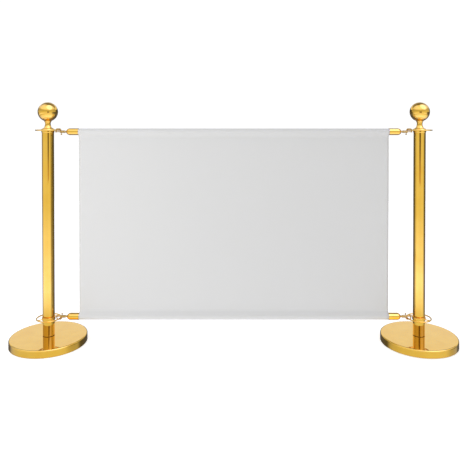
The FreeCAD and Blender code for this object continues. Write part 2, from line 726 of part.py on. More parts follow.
def swivel_nut(corner, x, z, rotation):
    """Nut that holds the swivel stem in the cap's nose."""
    blank = hexagon(f"{corner}_nut_blank", "dims.nut_flats", "dims.nut_thickness", "places.nut_face")
    bore = cylinder(f"{corner}_nut_bore", "places.swivel_radius + dims.thread_gap",
                    "dims.nut_thickness * 3", "places.nut_face - dims.nut_thickness")
    nut = cut(f"{corner}_nut", blank, bore)
    put(nut, f"{corner}_swivel_nut", x, z, rotation * ALONG_X)


def latch_bolt(corner, x, z, rotation):
    """Sliding bolt that shuts the hook's loop, with a collar that the spring pushes on."""
    outside = [
        ("places.latch_tip", "0"),
        ("places.latch_tip", "places.latch_radius"),
        ("places.collar_front", "places.latch_radius"),
        ("places.collar_front", "places.collar_outside"),
        ("places.collar_back", "places.collar_outside"),
        ("places.collar_back", "0"),
    ]
    body = new_body(f"{corner}_latch")
    turn(body, "bolt", outside, "H_Axis")
    before = body.Shape.Volume
    seat = sketch_on(body, "XY_Plane", "pin_seat_outline", lift="-places.knob_root")
    draw_circle(seat, "places.knob_axis", "0", "dims.knob_pin / 2 + dims.knob_fit")
    pocket = body.newObject("PartDesign::Pocket", "pin_seat")
    pocket.Profile = seat
    pocket.setExpression("Length", "dims.chamber_diameter")
    doc.recompute()
    if body.Shape.Volume >= before:
        raise RuntimeError(f"{body.Label}: the pin's seat cuts nothing")
    put(body, f"{corner}_latch_bolt", x, z, rotation)


def thumb_knob(corner, x, z, rotation):
    """Knob on a pin through the barrel's slot, to draw the latch back."""
    pin = "dims.knob_pin / 2"
    head = "dims.knob_diameter / 2"
    under_head = "-dims.knob_reach + dims.knob_head"
    edge = "dims.knob_head / 4"
    corners = [
        ("0", "-dims.knob_reach"),
        (f"{head} - {edge}", "-dims.knob_reach"),
        (head, f"-dims.knob_reach + {edge}"),
        (head, under_head),
        (pin, under_head),
        (pin, "-places.knob_root"),
        ("0", "-places.knob_root"),
    ]
    sideways = f"places.knob_axis * {round(rotation.multVec(FreeCAD.Vector(1, 0, 0)).x)}"
    body = new_body(f"{corner}_knob")
    turn(body, "knob", corners)
    put(body, f"{corner}_thumb_knob", f"{x} + {sideways}", z, rotation)


def latch_spring(corner, x, z, rotation):
    """Compression spring behind the latch's collar."""
    wire = "dims.spring_wire / 2"
    coil = f"dims.chamber_diameter / 2 - dims.spring_gap - {wire}"
    start = f"places.collar_back + dims.spring_gap + {wire}"
    end = f"places.chamber_end - dims.spring_gap - {wire}"
    body = new_body(f"{corner}_spring")
    section = sketch_on(body, "XZ_Plane", "spring_section")
    draw_circle(section, start, coil, wire)
    spring = body.newObject("PartDesign::AdditiveHelix", "spring")
    spring.Profile = section
    spring.ReferenceAxis = (section, ["H_Axis"])
    spring.Mode = "height-turns-angle"
    bind(spring, Height=f"{end} - ({start})", Turns="dims.spring_turns")
    doc.recompute()
    put(body, f"{corner}_latch_spring", x, z, rotation)


def end_cap(corner, x, z, rotation):
    """Bullet-nosed cap on the end of a rod, hollow for the rod and for the swivel nut."""
    swivel_bore = "places.swivel_radius + dims.swivel_fit"
    bore = "places.cap_bore"
    face = "(places.hook_neck_radius + dims.cap_nose_rim)"
    nose = "dims.cap_nose_radius"
    nose_end = f"places.cap_face + sqrt({nose} ^ 2 - ({nose} - places.cap_radius + {face}) ^ 2)"
    bevel = "dims.cap_mouth_bevel"
    corners = [
        ("places.cap_face", swivel_bore),
        ("places.cap_face", face),
        (nose_end, "places.cap_radius", nose, "right"),
        (f"places.cap_end - {bevel}", "places.cap_radius"),
        ("places.cap_end", f"places.cap_radius - {bevel}"),
        ("places.cap_end", bore),
        ("places.cap_seat", bore),
        ("places.cap_seat", "places.nut_cavity"),
        ("places.cap_face + dims.cap_front", "places.nut_cavity"),
        ("places.cap_face + dims.cap_front", swivel_bore),
    ]
    body = new_body(f"{corner}_cap")
    turn(body, "cap", corners, "H_Axis")
    put(body, f"{corner}_end_cap", x, z, rotation)


# --- banner and rods ------------------------------------------------------------------------


def rod(label, z):
    """Tube through one of the banner's pockets."""
    half = "places.rod_length / 2"
    body = new_body(f"{label}_body")
    turn(body, "tube", block(f"-{half}", half, "places.rod_radius - dims.rod_wall", "places.rod_radius"),
         "H_Axis")
    put(body, label, "0", z)


def round_rod(axis, way, radius):
    """Corners of the cloth round a rod, anticlockwise from one tangent point to the other. way
    is "+" when the rest of the banner is below the rod, and "-" when it is above."""
    across = f"({way}1) * {radius} * places.pocket_sin"
    side = f"({way}1) * {radius}"
    leave = f"{axis} - ({way}1) * {radius} * places.pocket_cos"
    return [
        (across, leave),
        (side, axis, radius, "left"),
        ("0", f"{axis} {way} {radius}", radius, "left"),
        (f"-({side})", axis, radius, "left"),
        (f"-({across})", leave, radius, "left"),
    ]


def pocket_outside(axis, way):
    """Outside of one pocket, from the sheet round the rod and back to the sheet."""
    outside = "places.pocket_outside"
    sheet = f"({way}1) * dims.cloth_thickness / 2"
    drop = f"({outside} - dims.cloth_thickness / 2 * places.pocket_sin) / places.pocket_cos"
    join = f"{axis} - ({way}1) * {drop}"
    return [(sheet, join)] + round_rod(axis, way, outside) + [(f"-({sheet})", join)]


def pocket_inside(axis, way):
    """Inside of one pocket: round the rod, then straight to the seam."""
    seam = ("0", f"{axis} - ({way}1) * places.seam_drop")
    return [seam] + round_rod(axis, way, "places.pocket_inside")


def banner():
    """Sheet of cloth with a sewn pocket along its top and its bottom edge."""
    upper = "places.upper_rod_height"
    lower = "places.lower_rod_height"
    body = new_body("banner_body")
    section = sketch_on(body, "YZ_Plane", "banner_section")
    draw_outline(section, pocket_outside(upper, "+") + pocket_outside(lower, "-"), tag="o")
    draw_outline(section, pocket_inside(upper, "+"), tag="u")
    draw_outline(section, pocket_inside(lower, "-"), tag="l")
    cloth = body.newObject("PartDesign::Pad", "cloth")
    cloth.Profile = section
    cloth.SideType = "Symmetric"
    cloth.setExpression("Length", "places.banner_width")
    doc.recompute()
    put(body, "banner")


# --- whole barrier --------------------------------------------------------------------------


def corner_pieces():
    """Cap, hook and latch at the four corners. The lower ones are turned over, and the right
    ones are turned round."""
    over = FreeCAD.Rotation(FreeCAD.Vector(1, 0, 0), 180)
    round_about = FreeCAD.Rotation(FreeCAD.Vector(0, 0, 1), 180)
    corners = [
        ("upper_left", "-places.half_spacing", "places.upper_rod_height", FreeCAD.Rotation()),
        ("upper_right", "places.half_spacing", "places.upper_rod_height", round_about),
        ("lower_left", "-places.half_spacing", "places.lower_rod_height", over),
        ("lower_right", "places.half_spacing", "places.lower_rod_height", round_about * over),
    ]
    for where in corners:
        for make in (end_cap, hook, swivel_nut, latch_bolt, thumb_knob, latch_spring):
            make(*where)


def check_and_write():
    """Refuse a failed object or an unsound solid, then write one file for each piece."""
    doc.recompute()
    failed = [o.Name for o in doc.Objects if {"Invalid", "Error"} & set(o.State)]
    if failed:
        raise RuntimeError(f"failed objects: {failed}")
    unsound = [p.Label for p in pieces if p.Shape.isNull() or not p.Shape.isValid()]
    if unsound:
        raise RuntimeError(f"unsound shapes: {unsound}")
    os.makedirs("parts", exist_ok=True)
    for piece in pieces:
        piece.Shape.exportStep(f"parts/{piece.Label}.step")
    print(f"{len(pieces)} pieces written")


fill_dimensions()
post("left", "-places.half_spacing", (90, 180))
post("right", "places.half_spacing", (90, 0))
rod("upper_rod", "places.upper_rod_height")
rod("lower_rod", "places.lower_rod_height")
banner()
corner_pieces()
check_and_write()
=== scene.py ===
"""Banner barrier: its turned brass, snap hooks and cloth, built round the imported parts.

Everything is in metres, in the frame of the parts. +X runs along the banner and its front
faces -Y. "Outline" means a section of a turned piece, as (distance from the axis, place along it).
"""
import bmesh
import bpy
from math import acos, asin, atan2, cos, degrees, pi, radians, sin, sqrt, tan
from mathutils import Matrix, Vector


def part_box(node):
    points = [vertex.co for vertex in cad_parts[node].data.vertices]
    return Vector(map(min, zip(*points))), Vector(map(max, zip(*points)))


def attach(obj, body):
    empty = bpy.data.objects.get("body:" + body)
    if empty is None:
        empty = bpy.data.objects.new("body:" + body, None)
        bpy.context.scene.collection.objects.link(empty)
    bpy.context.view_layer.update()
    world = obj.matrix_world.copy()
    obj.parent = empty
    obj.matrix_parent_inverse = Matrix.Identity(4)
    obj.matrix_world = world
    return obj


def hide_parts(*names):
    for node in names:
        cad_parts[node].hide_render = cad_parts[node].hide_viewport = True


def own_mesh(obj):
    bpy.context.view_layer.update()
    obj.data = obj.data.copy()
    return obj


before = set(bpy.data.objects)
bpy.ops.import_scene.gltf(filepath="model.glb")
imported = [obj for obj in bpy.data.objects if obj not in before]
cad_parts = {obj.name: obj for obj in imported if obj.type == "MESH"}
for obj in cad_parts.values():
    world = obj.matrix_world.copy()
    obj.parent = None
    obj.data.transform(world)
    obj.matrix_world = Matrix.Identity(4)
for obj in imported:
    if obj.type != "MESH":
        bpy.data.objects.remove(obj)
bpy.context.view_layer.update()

bl_info = {
    "name": "Banner barrier",
    "version": (1, 0, 0),
    "blender": (4, 5, 0),
    "location": "3D View > Sidebar > Barrier",
    "description": "Ball-topped brass posts with a cloth banner on snap hooks",
    "category": "Object",
}

MM = 0.001
SIDES = ("left", "right")
CORNERS = ("upper_left", "upper_right", "lower_left", "lower_right")
BACK = pi / 2  # a turned piece's seam faces +Y
ON_AXIS = 1e-7  # an outline's point nearer to the axis than this is a pole


# --- where the parts are ---


def middle(node, axis):
    """Middle of a part's box along one axis."""
    low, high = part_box(node)
    return (low[axis] + high[axis]) / 2


def across(node, axis=0):
    """Half of a part's width."""
    low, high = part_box(node)
    return (high[axis] - low[axis]) / 2


def bottom(node):
    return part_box(node)[0].z


def top(node):
    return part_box(node)[1].z


def post_x(side):
    return middle(f"{side}_post_tube", 0)


def side_of(corner):
    return corner.split("_")[1]


def level_of(corner):
    return corner.split("_")[0]


def inwards(corner):
    """+1 where the banner lies towards +X from the corner's post, -1 where it lies towards -X."""
    return 1 if side_of(corner) == "left" else -1


def rod_z(corner):
    return middle(f"{level_of(corner)}_rod", 2)


def from_post(node, corner):
    """Nearest and farthest place of a part, measured from its post's axis towards the banner."""
    low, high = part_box(node)
    ends = sorted(inwards(corner) * (edge - post_x(side_of(corner))) for edge in (low.x, high.x))
    return ends[0], ends[1]


# --- sizes and colours that a user would change ---


def colour(hex_code):
    """Linear colour from an sRGB hex code."""
    channels = [int(hex_code[i:i + 2], 16) / 255 for i in (1, 3, 5)]
    return [c / 12.92 if c <= 0.04045 else ((c + 0.055) / 1.055) ** 2.4 for c in channels] + [1.0]


def length_property(name, description, default):
    return bpy.props.FloatProperty(name=name, description=description, default=default, min=0,
                                   unit="LENGTH", precision=5)


class BarrierMetalwork(bpy.types.PropertyGroup):
    cover_wall: length_property("Cover wall", "Sheet that the base cover is spun from", 1.5 * MM)
    shoulder: length_property("Shoulder", "Round between the cover's top and its side", 5 * MM)
    cover_hole: length_property("Cover hole", "Radius of the bolt hole in the cover", 6.5 * MM)
    tube_wall: length_property("Tube wall", "Wall of the post tube", 1.5 * MM)
    stud_hole: length_property("Stud hole", "Radius of the holes for the finial's stud", 5.05 * MM)
    hoop_wire: length_property("Hoop wire", "Diameter of the wire of the hoops", 5 * MM)
    spoke_wire: length_property("Spoke wire", "Diameter of the spokes", 4 * MM)
    braze: length_property("Braze", "Fillet of brazing metal where a spoke joins", 0.9 * MM)
    soft_edge: length_property("Soft edge", "Round that polishing leaves on an edge", 0.35 * MM)
    ball_wall: length_property("Ball wall", "Shell of the ball", 1.5 * MM)
    spring_wire: length_property("Spring wire", "Wire of the latch springs", 0.7 * MM)
    latch_travel: length_property("Latch travel", "How far a latch is drawn back", 8 * MM)
    spring_turns: bpy.props.IntProperty(name="Spring turns", description="Turns of a latch spring",
                                        default=6, min=3)
    spokes: bpy.props.IntProperty(name="Spokes", description="Spokes of each hoop", default=4,
                                  min=2)
    around: bpy.props.IntProperty(name="Facets", description="Facets round a turned piece",
                                  default=128, min=24)


class BarrierBanner(bpy.types.PropertyGroup):
    cloth: length_property("Cloth", "Thickness of the banner cloth", 0.6 * MM)
    seam_drop: length_property("Seam drop", "Rod's axis to the seam of its pocket", 22 * MM)
    hem: length_property("Hem", "Cloth turned in past a pocket's seam", 12 * MM)
    side_hem: length_property("Side hem", "Width of the hems at the banner's sides", 12 * MM)
    stitch: length_property("Stitch", "Spacing of the stitches", 4.2 * MM)
    thread: length_property("Thread", "Diameter of the sewing thread", 0.5 * MM)
    billow: length_property("Billow", "How far the cloth swings out of flat", 1.6 * MM)
    seed: bpy.props.IntProperty(name="Seed", description="Seed for the stitches' slight disorder",
                                default=7)


def tone_property(name, description, hex_code):
    return bpy.props.FloatVectorProperty(name=name, description=description, size=4, min=0, max=1,
                                         default=colour(hex_code), subtype="COLOR")


class BarrierColours(bpy.types.PropertyGroup):
    brass_deep: tone_property("Brass, deep", "Polished brass where it is yellowest", "#EAB735")
    brass_pale: tone_property("Brass, pale", "Polished brass where it is palest", "#EFC043")
    hook_deep: tone_property("Hook, deep", "Cast brass in its hollows", "#94772F")
    hook_pale: tone_property("Hook, pale", "Cast brass where it is rubbed", "#D0AB50")
    cloth_deep: tone_property("Cloth, deep", "Banner's darker threads", "#C3C3C2")
    cloth_pale: tone_property("Cloth, pale", "Banner's lighter threads", "#CCCCCB")
    # The thread's tone follows its own grain: the deep tone is painted shade between the plies,
    # the pale one its own colour with painted light on the plies
    thread_painted_shade: tone_property("Thread, deep", "Sewing thread between its plies", "#CFCFCC")
    thread_pale: tone_property("Thread, pale", "Sewing thread on its plies", "#ECECEA")
    rod_deep: tone_property("Rod, deep", "Aluminium in its drawing lines", "#C9CBCD")
    rod_pale: tone_property("Rod, pale", "Aluminium between its drawing lines", "#E1E2E3")


class BarrierStage(bpy.types.PropertyGroup):
    lens: bpy.props.FloatProperty(name="Lens", description="Focal length", default=39.9,
                                  subtype="DISTANCE_CAMERA", unit="CAMERA")
    eye: bpy.props.FloatVectorProperty(name="Camera", description="Where the camera stands",
                                       default=(0.005, -2.158, 0.91), subtype="TRANSLATION",
                                       unit="LENGTH")
    rise: bpy.props.FloatProperty(name="Shift", description="Vertical shift of the lens",
                                  default=-0.2227)
    tilt: bpy.props.FloatProperty(name="Tilt", description="How far the camera looks down",
                                  default=radians(0.7), subtype="ANGLE", unit="ROTATION")
    room: bpy.props.FloatProperty(name="Room light", description="Even light on cloth and floor",
                                  default=0.78, min=0)


def metal():
    return bpy.context.scene.barrier_metal


def cloth():
    return bpy.context.scene.barrier_banner


def tones():
    return bpy.context.scene.barrier_colours


# --- small tools ---


def add(tree, kind, inputs=None, stops=(), **settings):
    """Add a node with its settings. Inputs are values, or sockets to link from. Stops are the
    (place, linear colour) pairs of a colour ramp."""
    node = tree.nodes.new(kind)
    for name, value in settings.items():
        setattr(node, name, value)
    for name, value in (inputs or {}).items():
        if isinstance(value, bpy.types.NodeSocket):
            tree.links.new(value, node.inputs[name])
        else:
            node.inputs[name].default_value = value
    if stops:
        elements = node.color_ramp.elements
        while len(elements) < len(stops):
            elements.new(0.5)
        for element, (place, tone) in zip(elements, stops):
            element.position, element.color = place, tone
    return node


def new_object(name, mesh):
    piece = bpy.data.objects.new(name, mesh)
    bpy.context.scene.collection.objects.link(piece)
    return piece


def finish_mesh(name, shape, sharp=35):
    """Make a bmesh into an object with smooth shading and crisp edges where it turns sharply."""
    mesh = bpy.data.meshes.new(name)
    shape.to_mesh(mesh)
    shape.free()
    mesh.shade_smooth()
    mesh.set_sharp_from_angle(angle=radians(sharp))
    return new_object(name, mesh)


def add_face(shape, uv, corners, places):
    """Face with each corner's place on the surface, in metres."""
    face = shape.faces.new(corners)
    for loop, place in zip(face.loops, places):
        loop[uv].uv = place


def evaluated_mesh(piece, name):
    """Plain mesh of a piece with its modifiers, which are then taken off."""
    bpy.context.view_layer.update()
    ready = piece.evaluated_get(bpy.context.evaluated_depsgraph_get())
    mesh = bpy.data.meshes.new_from_object(ready)
    mesh.name = name
    piece.modifiers.clear()
    return mesh


def rounded(corners, closed=True, steps=6):
    """Outline through corners (across, along) or (across, along, radius). A radius turns the
    corner into an arc, with a point just outside each end of it that keeps the flats flat."""
    count, widest_margin, room_share = len(corners), 0.5 * MM, 0.45
    outline = []
    for i, corner in enumerate(corners):
        here = Vector(corner[:2])
        if len(corner) == 2 or (not closed and i in (0, count - 1)):
            outline.append(here)
            continue
        before = Vector(corners[i - 1][:2]) - here
        after = Vector(corners[(i + 1) % count][:2]) - here
        room = min(before.length, after.length)
        before.normalize()
        after.normalize()
        half = before.angle(after) / 2
        radius = min(corner[2], room_share * room * tan(half))
        reach = radius / tan(half)
        centre = here + (before + after).normalized() * (radius / sin(half))
        start, end = here + before * reach, here + after * reach
        margin = min(widest_margin, (room - reach) / 3)
        outline.append(start + before * margin)
        first = atan2(start.y - centre.y, start.x - centre.x)
        sweep = atan2(end.y - centre.y, end.x - centre.x) - first
        sweep = (sweep + pi) % (2 * pi) - pi
        for step in range(steps + 1):
            angle = first + sweep * step / steps
            outline.append(centre + Vector((cos(angle), sin(angle))) * radius)
        outline.append(end + after * margin)
    return outline


def arc(centre, radius, start, end, steps):
    """Points of an arc from one angle to another, in degrees."""
    angles = [radians(start + (end - start) * i / steps) for i in range(steps + 1)]
    return [Vector((centre[0] + radius * cos(a), centre[1] + radius * sin(a))) for a in angles]


def standing(x, base=0.0):
    """Place of a turned piece that stands about a post's axis."""
    return lambda r, turn, along: (x + r * cos(turn), r * sin(turn), base + along)


def lying(corner):
    """Place of a turned piece that lies about a rod's axis, measured from the post's axis."""
    x, z, way = post_x(side_of(corner)), rod_z(corner), inwards(corner)
    return lambda r, turn, along: (x + way * along, r * sin(turn), z + r * cos(turn))


def turned(outline, place, around=None):
    """Bmesh of an outline turned about its axis. Its UV map is in metres, round and along."""
    around = around or metal().around
    shape = bmesh.new()
    uv = shape.loops.layers.uv.new("along_surface")
    rows, run = [], [0.0]
    for i, point in enumerate(outline):
        if i:
            run.append(run[-1] + (point - outline[i - 1]).length)
        if point.x < ON_AXIS:
            pole = shape.verts.new(place(0, 0, point.y))
            rows.append([pole] * around)
        else:
            rows.append([shape.verts.new(place(point.x, BACK + 2 * pi * k / around, point.y))
                         for k in range(around)])
    widest = max(point.x for point in outline)
    pairs = [(i, i + 1) for i in range(len(outline) - 1)]
    if outline[0].x > ON_AXIS:
        pairs.append((len(outline) - 1, 0))
    for i, j in pairs:
        ends = (run[i], run[j] if j else run[i] + (outline[0] - outline[i]).length)
        for k in range(around):
            n = (k + 1) % around
            ring = [(rows[i][k], k, ends[0]), (rows[i][n], k + 1, ends[0]),
                    (rows[j][n], k + 1, ends[1]), (rows[j][k], k, ends[1])]
            corners = [c for m, c in enumerate(ring) if c[0] not in [d[0] for d in ring[:m]]]
            if len(corners) < 3:
                continue
            add_face(shape, uv, [c[0] for c in corners],
                     [(2 * pi * widest * c[1] / around, c[2]) for c in corners])
    bmesh.ops.recalc_face_normals(shape, faces=shape.faces)
    return shape


def turned_piece(name, outline, place, body, slot, replaces=(), around=None):
    """A finished turned piece that rides on a body."""
    piece = finish_mesh(name, turned(outline, place, around))
    return settle(piece, body, slot, replaces)


def settle(piece, body, slot, replaces=(), finish=None):
    """Put a piece on its body, give it its slot's material, unless a finish is named, and
    hide the parts that it stands for."""
    piece.data.materials.clear()
    piece.data.materials.append(FINISHES[finish or slot])
    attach(piece, body)
    if replaces:
        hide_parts(*replaces)
    return piece


def fuse(name, shapes):
    """One closed mesh from overlapping ones."""
    main, *others = [finish_mesh(f"{name}_{i}", s) if isinstance(s, bmesh.types.BMesh) else s
                     for i, s in enumerate(shapes)]
    for other in others:
        union = main.modifiers.new("union", "BOOLEAN")
        union.operation = "UNION"
        union.solver = "EXACT"
        union.object = other
    mesh = evaluated_mesh(main, name)
    for old in (main, *others):
        bpy.data.objects.remove(old)
    cleaned = bmesh.new()
    cleaned.from_mesh(mesh)
    bmesh.ops.dissolve_degenerate(cleaned, dist=1e-6, edges=cleaned.edges)
    bmesh.ops.triangulate(cleaned, faces=[f for f in cleaned.faces if len(f.verts) > 4])
    bpy.data.meshes.remove(mesh)
    return finish_mesh(name, cleaned)


# --- materials ---


def new_material(name):
    """Material, its empty tree, and the places that its patterns can follow."""
    material = bpy.data.materials.new(name)
    material.use_nodes = True
    tree = material.node_tree
    tree.nodes.clear()
    return material, tree, add(tree, "ShaderNodeTexCoord").outputs


def surface(tree, values, tone, rough=None, relief=()):
    """Shader and output. Tone is (pattern, dark, light), rough is (pattern, low, high), and each
    (pattern, depth) of the relief lies over the one before. Values that are the same all over
    are set on the shader's own sockets."""
    pattern, dark, light = tone
    inputs = dict(values)
    inputs["Base Color"] = add(tree, "ShaderNodeValToRGB", {"Fac": pattern},
                               stops=[(0.3, dark), (0.7, light)]).outputs["Color"]
    if rough:
        pattern, low, high = rough
        inputs["Roughness"] = add(tree, "ShaderNodeMapRange", {
            "Value": pattern, "To Min": low, "To Max": high}).outputs[0]
    over = {}
    for pattern, depth in relief:
        over = {"Normal": add(tree, "ShaderNodeBump", {
            "Height": pattern, "Distance": depth, "Strength": 1.0, **over}).outputs[0]}
    shader = add(tree, "ShaderNodeBsdfPrincipled", {**inputs, **over})
    add(tree, "ShaderNodeOutputMaterial", {"Surface": shader.outputs["BSDF"]})


def lumps(tree, where, size, detail=3, stretch=(1, 1, 1)):
    """Random pattern with lumps about size metres wide, stretched along an axis by a factor."""
    scaled = add(tree, "ShaderNodeMapping", {"Vector": where,
                                             "Scale": [1 / (size * s) for s in stretch]})
    return add(tree, "ShaderNodeTexNoise", {"Vector": scaled.outputs[0], "Scale": 1.0,
                                            "Detail": detail}).outputs["Fac"]


def grained(name, values, dark, light, rough, depth, grain, stain=None):
    """Material with a fine grain, whose colour follows the grain or a wider stain. Grain and
    stain are (size, detail) or (size, detail, stretch)."""
    material, tree, spot = new_material(name)
    fine = lumps(tree, spot["Object"], *grain)
    wide = lumps(tree, spot["Object"], *stain) if stain else fine
    surface(tree, values, (wide, dark, light), (fine, *rough), [(fine, depth)])
    return material


def polished_brass():
    """Turned brass, buffed to a mirror and lacquered. The lacquer gives a second, colourless
    gloss that pales the gold at a slant; buffing leaves hair lines round the piece and patches
    that are a little less bright, and the tube is not quite straight in its reflections."""
    material, tree, spot = new_material("lacquered_polished_brass")
    patches = lumps(tree, spot["Object"], 45 * MM, 4)
    # buffing lines are about 0.05 mm apart; drawn at 0.7 mm so that they show
    hair = lumps(tree, spot["UV"], 0.7 * MM, 2, (70, 1, 1))
    # slow waviness that drawing leaves in a tube, about a hundredth of a millimetre deep
    wavy = lumps(tree, spot["Object"], 60 * MM, 1, (1, 1, 2.5))
    surface(tree, {"Metallic": 1.0, "Coat Weight": 0.7, "Coat Roughness": 0.03, "Coat IOR": 1.5},
            (patches, tones().brass_deep, tones().brass_pale), (hair, 0.02, 0.07),
            [(hair, 0.004 * MM), (wavy, 0.008 * MM)])
    return material


def rubber():
    """Black moulded rubber: matt, with a grey bloom and a fine leather-like grain."""
    material, tree, spot = new_material("moulded_rubber")
    bloom = lumps(tree, spot["Object"], 9 * MM, 4)
    grain = lumps(tree, spot["Object"], 0.5 * MM, 2)
    surface(tree, {"IOR": 1.52}, (bloom, colour("#17171A"), colour("#2A2A2C")),
            (bloom, 0.62, 0.8), [(grain, 0.04 * MM)])
    return material


def banner_cloth():
    """Plain-woven polyester: matt, each thread a little thicker or thinner than the next, which
    gives faint streaks both ways, and a soft sheen at a slant."""
    material, tree, spot = new_material("woven_polyester_banner")
    axes = add(tree, "ShaderNodeSeparateXYZ", {"Vector": spot["UV"]})
    # threads are about 0.4 mm apart; drawn at 1.2 mm so that the weave shows close up
    pitch = 1.2 * MM
    threads = []
    for axis in ("X", "Y"):
        phase = add(tree, "ShaderNodeMath", {0: axes.outputs[axis], 1: 2 * pi / pitch},
                    operation="MULTIPLY")
        threads.append(add(tree, "ShaderNodeMath", {0: phase.outputs[0]}, operation="SINE"))
    weave = add(tree, "ShaderNodeMath", {0: threads[0].outputs[0], 1: threads[1].outputs[0]},
                operation="MULTIPLY").outputs[0]
    slub, run = 1.6 * MM, 60  # a thick place is 60 times as long as it is wide
    weft = lumps(tree, spot["UV"], slub, 2, (run, 1, 1))
    warp = lumps(tree, spot["UV"], slub, 2, (1, run, 1))
    slubs = add(tree, "ShaderNodeMath", {0: weft, 1: warp}, operation="ADD").outputs[0]
    streaks = add(tree, "ShaderNodeMapRange", {"Value": slubs, "To Min": -0.5,
                                               "To Max": 1.5}).outputs[0]
    surface(tree, {"IOR": 1.5, "Specular IOR Level": 0.3, "Sheen Weight": 0.15,
                   "Sheen Roughness": 0.4},
            (streaks, tones().cloth_deep, tones().cloth_pale), (slubs, 0.55, 0.85),
            [(slubs, 0.03 * MM), (weave, 0.05 * MM)])
    return material


FINISHES = {}


def make_finishes():
    """Make every material. Each comment says what the real one is and how it looks."""
    metallic = {"Metallic": 1.0}
    blotch = (6 * MM, 2)
    FINISHES.update(
        polished_brass=polished_brass(),
        banner_cloth=banner_cloth(),
        rubber=rubber(),
        # sand-cast brass, tumbled and lacquered: satin, darker in its hollows, slightly grainy
        cast_brass=grained(
            "tumbled_cast_brass", {"Metallic": 1.0, "Coat Weight": 0.6, "Coat Roughness": 0.1},
            tones().hook_deep, tones().hook_pale, (0.16, 0.34), 0.03 * MM,
            (0.35 * MM, 3), (4 * MM, 3)),
        # twisted polyester thread: a shade whiter than the cloth, mottled with painted shade
        # between its plies and painted light on them
        thread=grained(
            "polyester_thread", {"Sheen Weight": 0.3, "Sheen Roughness": 0.3},
            tones().thread_painted_shade, tones().thread_pale, (0.4, 0.6), 0.05 * MM, (0.4 * MM, 1)),
        # extruded aluminium, mill finish: drawing lines along its length, soft grey shine
        rod_aluminium=grained(
            "mill_finish_aluminium", metallic, tones().rod_deep, tones().rod_pale,
            (0.22, 0.4), 0.01 * MM, (0.4 * MM, 3, (200, 1, 1))),
        # grey iron under black foundry paint: dull, pitted like the sand of its mould
        cast_iron=grained(
            "painted_cast_iron", {"Metallic": 0.0}, colour("#232425"), colour("#3B3C3D"),
            (0.55, 0.8), 0.15 * MM, (0.8 * MM, 5)),
        # bright zinc plating: bluish white, slightly mottled
        zinc_steel=grained(
            "bright_zinc_plated_steel", metallic, colour("#A9B0B8"), colour("#CDD2D6"),
            (0.22, 0.38), 0.01 * MM, (0.6 * MM, 3), blotch),
        # turned mild steel, oiled: grey with tool marks
        plug_steel=grained(
            "turned_mild_steel", metallic, colour("#7E7F80"), colour("#A5A6A7"),
            (0.3, 0.5), 0.02 * MM, (0.5 * MM, 3), blotch),
        # drawn music wire: dark, smooth, with a bronze cast from stress relieving
        spring_steel=grained(
            "drawn_spring_steel", metallic, colour("#5D5954"), colour("#8B867E"),
            (0.2, 0.32), 0.005 * MM, (0.3 * MM, 3), blotch),
    )


# --- geometry nodes ---


def new_tree(name, inputs):
    """Geometry node tree with named inputs, and its group input node."""
    tree = bpy.data.node_groups.new(name, "GeometryNodeTree")
    tree.interface.new_socket("Geometry", in_out="OUTPUT", socket_type="NodeSocketGeometry")
    for label, kind in inputs:
        tree.interface.new_socket(label, in_out="INPUT", socket_type=f"NodeSocket{kind}")
    return tree, add(tree, "NodeGroupInput").outputs


def close_tree(tree, instances, given):
    """End a tree in real geometry with its material."""
    real = add(tree, "GeometryNodeRealizeInstances", {"Geometry": instances})
    painted = add(tree, "GeometryNodeSetMaterial", {"Geometry": real.outputs[0],
                                                    "Material": given["Material"]})
    add(tree, "NodeGroupOutput", {"Geometry": painted.outputs[0]})


def grow(name, tree, **values):
    """Plain mesh object that a tree makes from these inputs."""
    holder = new_object(name, bpy.data.meshes.new(name + "_seed"))
    modifier = holder.modifiers.new(tree.name, "NODES")
    modifier.node_group = tree
    for item in tree.interface.items_tree:
        if item.item_type == "SOCKET" and item.in_out == "INPUT":
            modifier[item.identifier] = values[item.name.replace(" ", "_").lower()]
    holder.data = evaluated_mesh(holder, name)
    return holder


def spokes_tree():
    """Copies of one spoke, evenly round the +Z axis."""
    tree, given = new_tree("Spokes round a collar", [
        ("Spoke", "Object"), ("Count", "Int"), ("First angle", "Float"),
        ("Material", "Material")])
    spoke = add(tree, "GeometryNodeObjectInfo", {"Object": given["Spoke"]})
    points = add(tree, "GeometryNodePoints", {"Count": given["Count"]})
    share = add(tree, "ShaderNodeMath", {0: 2 * pi, 1: given["Count"]}, operation="DIVIDE")
    index = add(tree, "GeometryNodeInputIndex")
    angle = add(tree, "ShaderNodeMath", {0: index.outputs[0], 1: share.outputs[0],
                                         2: given["First angle"]}, operation="MULTIPLY_ADD")
    turn = add(tree, "ShaderNodeCombineXYZ", {"Z": angle.outputs[0]})
    copies = add(tree, "GeometryNodeInstanceOnPoints", {
        "Points": points.outputs[0], "Instance": spoke.outputs["Geometry"],
        "Rotation": turn.outputs[0]})
    close_tree(tree, copies.outputs[0], given)
    return tree


